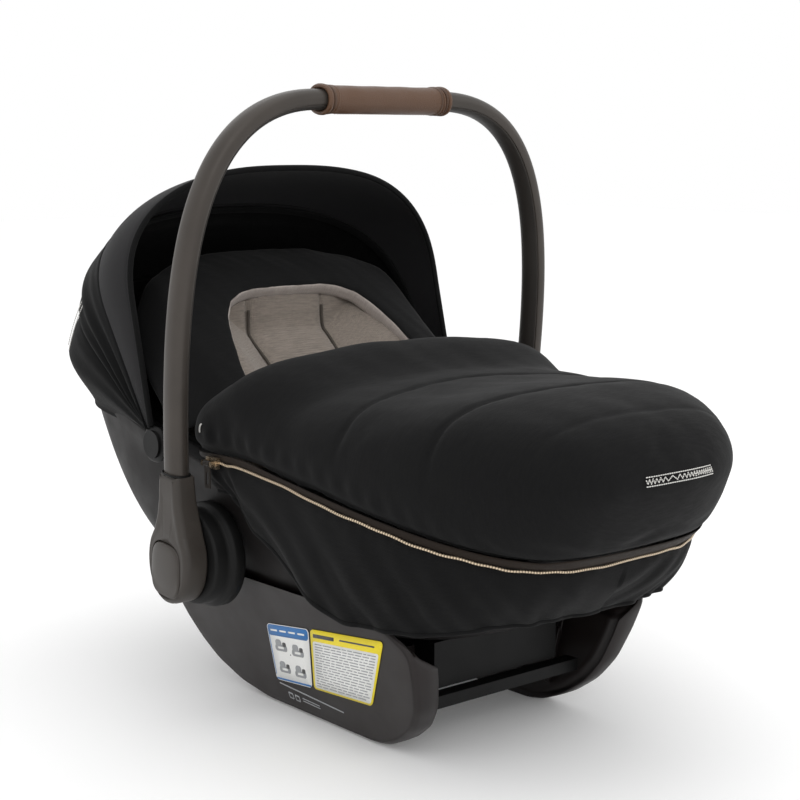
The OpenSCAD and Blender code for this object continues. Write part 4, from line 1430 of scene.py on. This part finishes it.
class SEAT_OT_labels(bpy.types.Operator):
    """Two film labels with plain bars and simple pictures on the left rocker."""
    bl_idname = "seat.labels"
    bl_label = "Labels"
    bl_options = {"REGISTER", "UNDO"}

    def patch(self, corners, s0, s1, t0, t1, lift, key, round_by=2.0, n=40, seen=1.0):
        """A rounded patch of film over a share of the label's width and height."""
        wide, tall = np.linalg.norm(corners[1] - corners[0]), np.linalg.norm(corners[3]
                                                                             - corners[0])
        hx, hy = (s1 - s0) / 2 * wide, (t1 - t0) / 2 * tall
        r = min(round_by, hx, hy)
        a = (np.arange(n) + .5) / n * 2 * math.pi
        ring = np.stack([(hx - r) * np.sign(np.cos(a)) + r * np.cos(a),
                         (hy - r) * np.sign(np.sin(a)) + r * np.sin(a)], 1)
        rows = []
        for k, h in ((.02, lift), (.5, lift), (1, lift), (1, lift - .35)):
            q = in_corners(corners, (s0 + s1) / 2 + k * ring[:, 0] / wide,
                           (t0 + t1) / 2 + k * ring[:, 1] / tall)
            rows.append(on_face(q[:, 0], q[:, 1], h))
        return grid("patch", placed(np.array(rows)), finish(key), wrap=True,
                    around=placed((0, -120, 60)))

    def execute(self, context):
        b = [self.patch(BLUE, 0, 1, 0, 1, .75, "white", 5),
             self.patch(BLUE, .015, .985, .01, .2, .86, "blue", 4),
             self.patch(BLUE, .02, .98, .955, .985, .86, "blue", .8),
             self.patch(BLUE, .015, .03, .1, .9, .86, "blue", .5)]
        for k in range(4):
            b.append(self.patch(BLUE, .08 + .22 * k, .24 + .22 * k, .09, .12, .93, "white", .5, 12))
        for s, t in ((.28, .36), (.7, .4), (.3, .74), (.72, .76)):
            b += [self.patch(BLUE, s - .15, s + .15, t - .01, t + .1, .86, "ink", 3),
                  self.patch(BLUE, s - .13, s + .02, t - .1, t + .05, .88, "ink", 3.5),
                  self.patch(BLUE, s + .04, s + .13, t - .06, t + .02, .9, "dark_ink", 2),
                  self.patch(BLUE, s - .08, s + .07, t + .02, t + .06, .95, "white", 1)]
        belongs(joined("picture_label", b), "seat", "blue_label", "blue_label")
        y = [self.patch(YELLOW, 0, 1, 0, 1, .75, "yellow", 5),
             self.patch(YELLOW, .03, .97, .19, .97, .86, "white", 3),
             self.patch(YELLOW, .04, .34, .07, .13, .86, "dark_ink", 1),
             self.patch(YELLOW, .42, .9, .085, .11, .86, "dark_ink", .6)]
        rng = np.random.default_rng(7)
        for t in np.linspace(.235, .93, 17):
            at = .06
            while at < .9:
                w = float(rng.uniform(.04, .14))
                y.append(self.patch(YELLOW, at, min(at + w, .94), t - .011, t + .006, .93, "ink",
                                    .3, 8))
                at += w + .016
        belongs(joined("notice_label", y), "seat", "yellow_label", "yellow_label")
        low = np.array([[-22, 27], [-120, 22], [-120, 10], [-22, 12]], float)
        m = [self.patch(low, .02, .98, .04, .14, .3, "ink", .4, 8)]
        m += [self.patch(low, .12 + .1 * k, .19 + .1 * k, .5, .95, .3, "ink", 1, 12)
              for k in range(2)]
        m += [self.patch(low, .13 + .1 * k, .18 + .1 * k, .6, .85, .36, "base", .8, 12)
              for k in range(2)]
        m += [self.patch(low, .34, .6, .5 + .2 * k, .57 + .2 * k, .3, "ink", .4, 8)
              for k in range(2)]
        belongs(joined("moulded_marks", m), "seat", "base")
        return {"FINISHED"}


class SEAT_OT_tags(bpy.types.Operator):
    """Stitching of the plain woven tags: a stitched bar on the cover's foot and stitched lines on
    the canopy's sides.
    """
    bl_idname = "seat.tags"
    bl_label = "Tags"
    bl_options = {"REGISTER", "UNDO"}

    def execute(self, context):
        a = np.radians(np.linspace(266, 279, 40))
        q = np.linspace(2.35, 2.95, 9)[:, None]
        p, no = cover_skin(a[None], q)
        p = p + no * (cover_seams(p) + 1.6)[..., None]
        rows = [stitches("t", p[k] + no[k] * .2, no[k], finish("thread"), 2.6, 2.4, .55)
                for k in (2, 6)]
        zig = p[np.where(np.arange(40) % 2, 3, 5), np.arange(40)]
        rows.append(stitches("t", zig + .3 * no[4], no[4], finish("thread"), 1.9, 1.9, .5))
        belongs(joined("foot_tag_stitching", rows), "seat", "cover")
        turn = np.linspace(47, 66, 40)
        for side, name in ((-1, "left"), (1, "right")):
            lines = []
            for r0 in (-3.5, 3.5):
                uu = side * (1 - (181 + r0 - 16) / ARCH_S[-1])
                line = canopy_at(np.full(40, uu), turn, np.full(40, 1.6))
                lines.append(stitches("c", line, np.tile([side, 0, 0.0], (40, 1)), finish("thread"),
                                      2.6, 2.4, .6))
            tag = joined(name + "_canopy_tag_stitching", lines)
            start, end = (tuple(placed(canopy_at(0, t, 0))) for t in (80, 34))
            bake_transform(tag)
        return {"FINISHED"}


class SEAT_OT_stage(bpy.types.Operator):
    """Pale floor, soft boxes and the camera."""
    bl_idname = "seat.stage"
    bl_label = "Stage"
    bl_options = {"REGISTER", "UNDO"}

    def execute(self, context):
        st = context.scene.seat_stage
        a, e = st.azimuth, st.elevation
        back = Vector((math.sin(a) * math.cos(e), -math.cos(a) * math.cos(e), math.sin(e)))
        target = Vector((0, -.02016, .28435))
        cam = bpy.data.cameras.new("camera")
        cam.lens, cam.sensor_width = st.lens, 36
        cam.clip_end = 100
        eye = bpy.data.objects.new("camera", cam)
        eye.location = target + back * st.distance
        eye.rotation_euler = back.to_track_quat("Z", "Y").to_euler()
        context.scene.collection.objects.link(eye)
        context.scene.camera = eye
        context.scene.view_settings.view_transform = "Standard"
        g = np.linspace(-1, 1, 41)
        x, y = np.meshgrid(g * 9, g * 9, indexing="ij")
        floor = grid("floor", stack(x, y, -.0005 + 0 * x), self.floor_finish(), around=(0, 0, -5))
        world = bpy.data.worlds.new("world")
        context.scene.world = world
        world.use_nodes = True
        world.node_tree.nodes["Background"].inputs["Color"].default_value = (1, 1, 1, 1)
        world.node_tree.nodes["Background"].inputs["Strength"].default_value = 1.0
        for name, at, size, power in (("key", (-1.6, -2.2, 2.6), 2.2, st.light),
                                      ("fill", (2.4, -1.4, 1.6), 2.0, st.light * .45),
                                      ("rim", (.6, 2.4, 2.2), 2.4, st.light * .5),
                                      ("top", (0, 0, 3.2), 2.6, st.light * .6)):
            lamp = bpy.data.lights.new(name, "AREA")
            lamp.shape, lamp.size, lamp.energy = "DISK", size, power
            o = bpy.data.objects.new(name, lamp)
            o.location = at
            o.rotation_euler = (Vector(at) - Vector((0, 0, .25))).to_track_quat("Z", "Y").to_euler()
            context.scene.collection.objects.link(o)
        return {"FINISHED"}

    def floor_finish(self):
        f = Finish("studio_floor", .9, specular=.1)
        f.colour(f.mix(f.spread(f.noise(f.coords(False), .8, 2), 0, 1), (.93, .93, .93),
                       (.95, .95, .95)))
        f.s.inputs["Emission Color"].default_value = (1, 1, 1, 1)
        f.s.inputs["Emission Strength"].default_value = .07
        return f.m


ORDER = (SEAT_OT_stage, SEAT_OT_shell, SEAT_OT_rockers, SEAT_OT_cover, SEAT_OT_skirt, SEAT_OT_zip,
         SEAT_OT_hood, SEAT_OT_liner, SEAT_OT_harness, SEAT_OT_canopy, SEAT_OT_handle,
         SEAT_OT_hubs, SEAT_OT_grip, SEAT_OT_labels, SEAT_OT_tags)


class SEAT_PT_panel(bpy.types.Panel):
    """Sizes, colours and the pieces of the seat."""
    bl_idname = "SEAT_PT_panel"
    bl_label = "Infant Car Seat"
    bl_space_type = "VIEW_3D"
    bl_region_type = "UI"
    bl_category = "Car Seat"

    def draw(self, context):
        for group in ("seat_sizes", "seat_colours", "seat_stage"):
            box = self.layout.box()
            props = getattr(context.scene, group)
            for key in props.__annotations__:
                box.prop(props, key)
        for op in ORDER:
            self.layout.operator(op.bl_idname, text=op.bl_label)


CLASSES = (SeatSizes, SeatColours, SeatStage, *ORDER, SEAT_PT_panel)


def register():
    for c in CLASSES:
        bpy.utils.register_class(c)
    bpy.types.Scene.seat_sizes = bpy.props.PointerProperty(type=SeatSizes)
    bpy.types.Scene.seat_colours = bpy.props.PointerProperty(type=SeatColours)
    bpy.types.Scene.seat_stage = bpy.props.PointerProperty(type=SeatStage)


def unregister():
    del bpy.types.Scene.seat_sizes, bpy.types.Scene.seat_colours, bpy.types.Scene.seat_stage
    for c in reversed(CLASSES):
        bpy.utils.unregister_class(c)


def main():
    register()
    for op in ORDER:
        group, name = op.bl_idname.split(".")
        getattr(getattr(bpy.ops, group), name)()


if __name__ == "__main__":
    main()
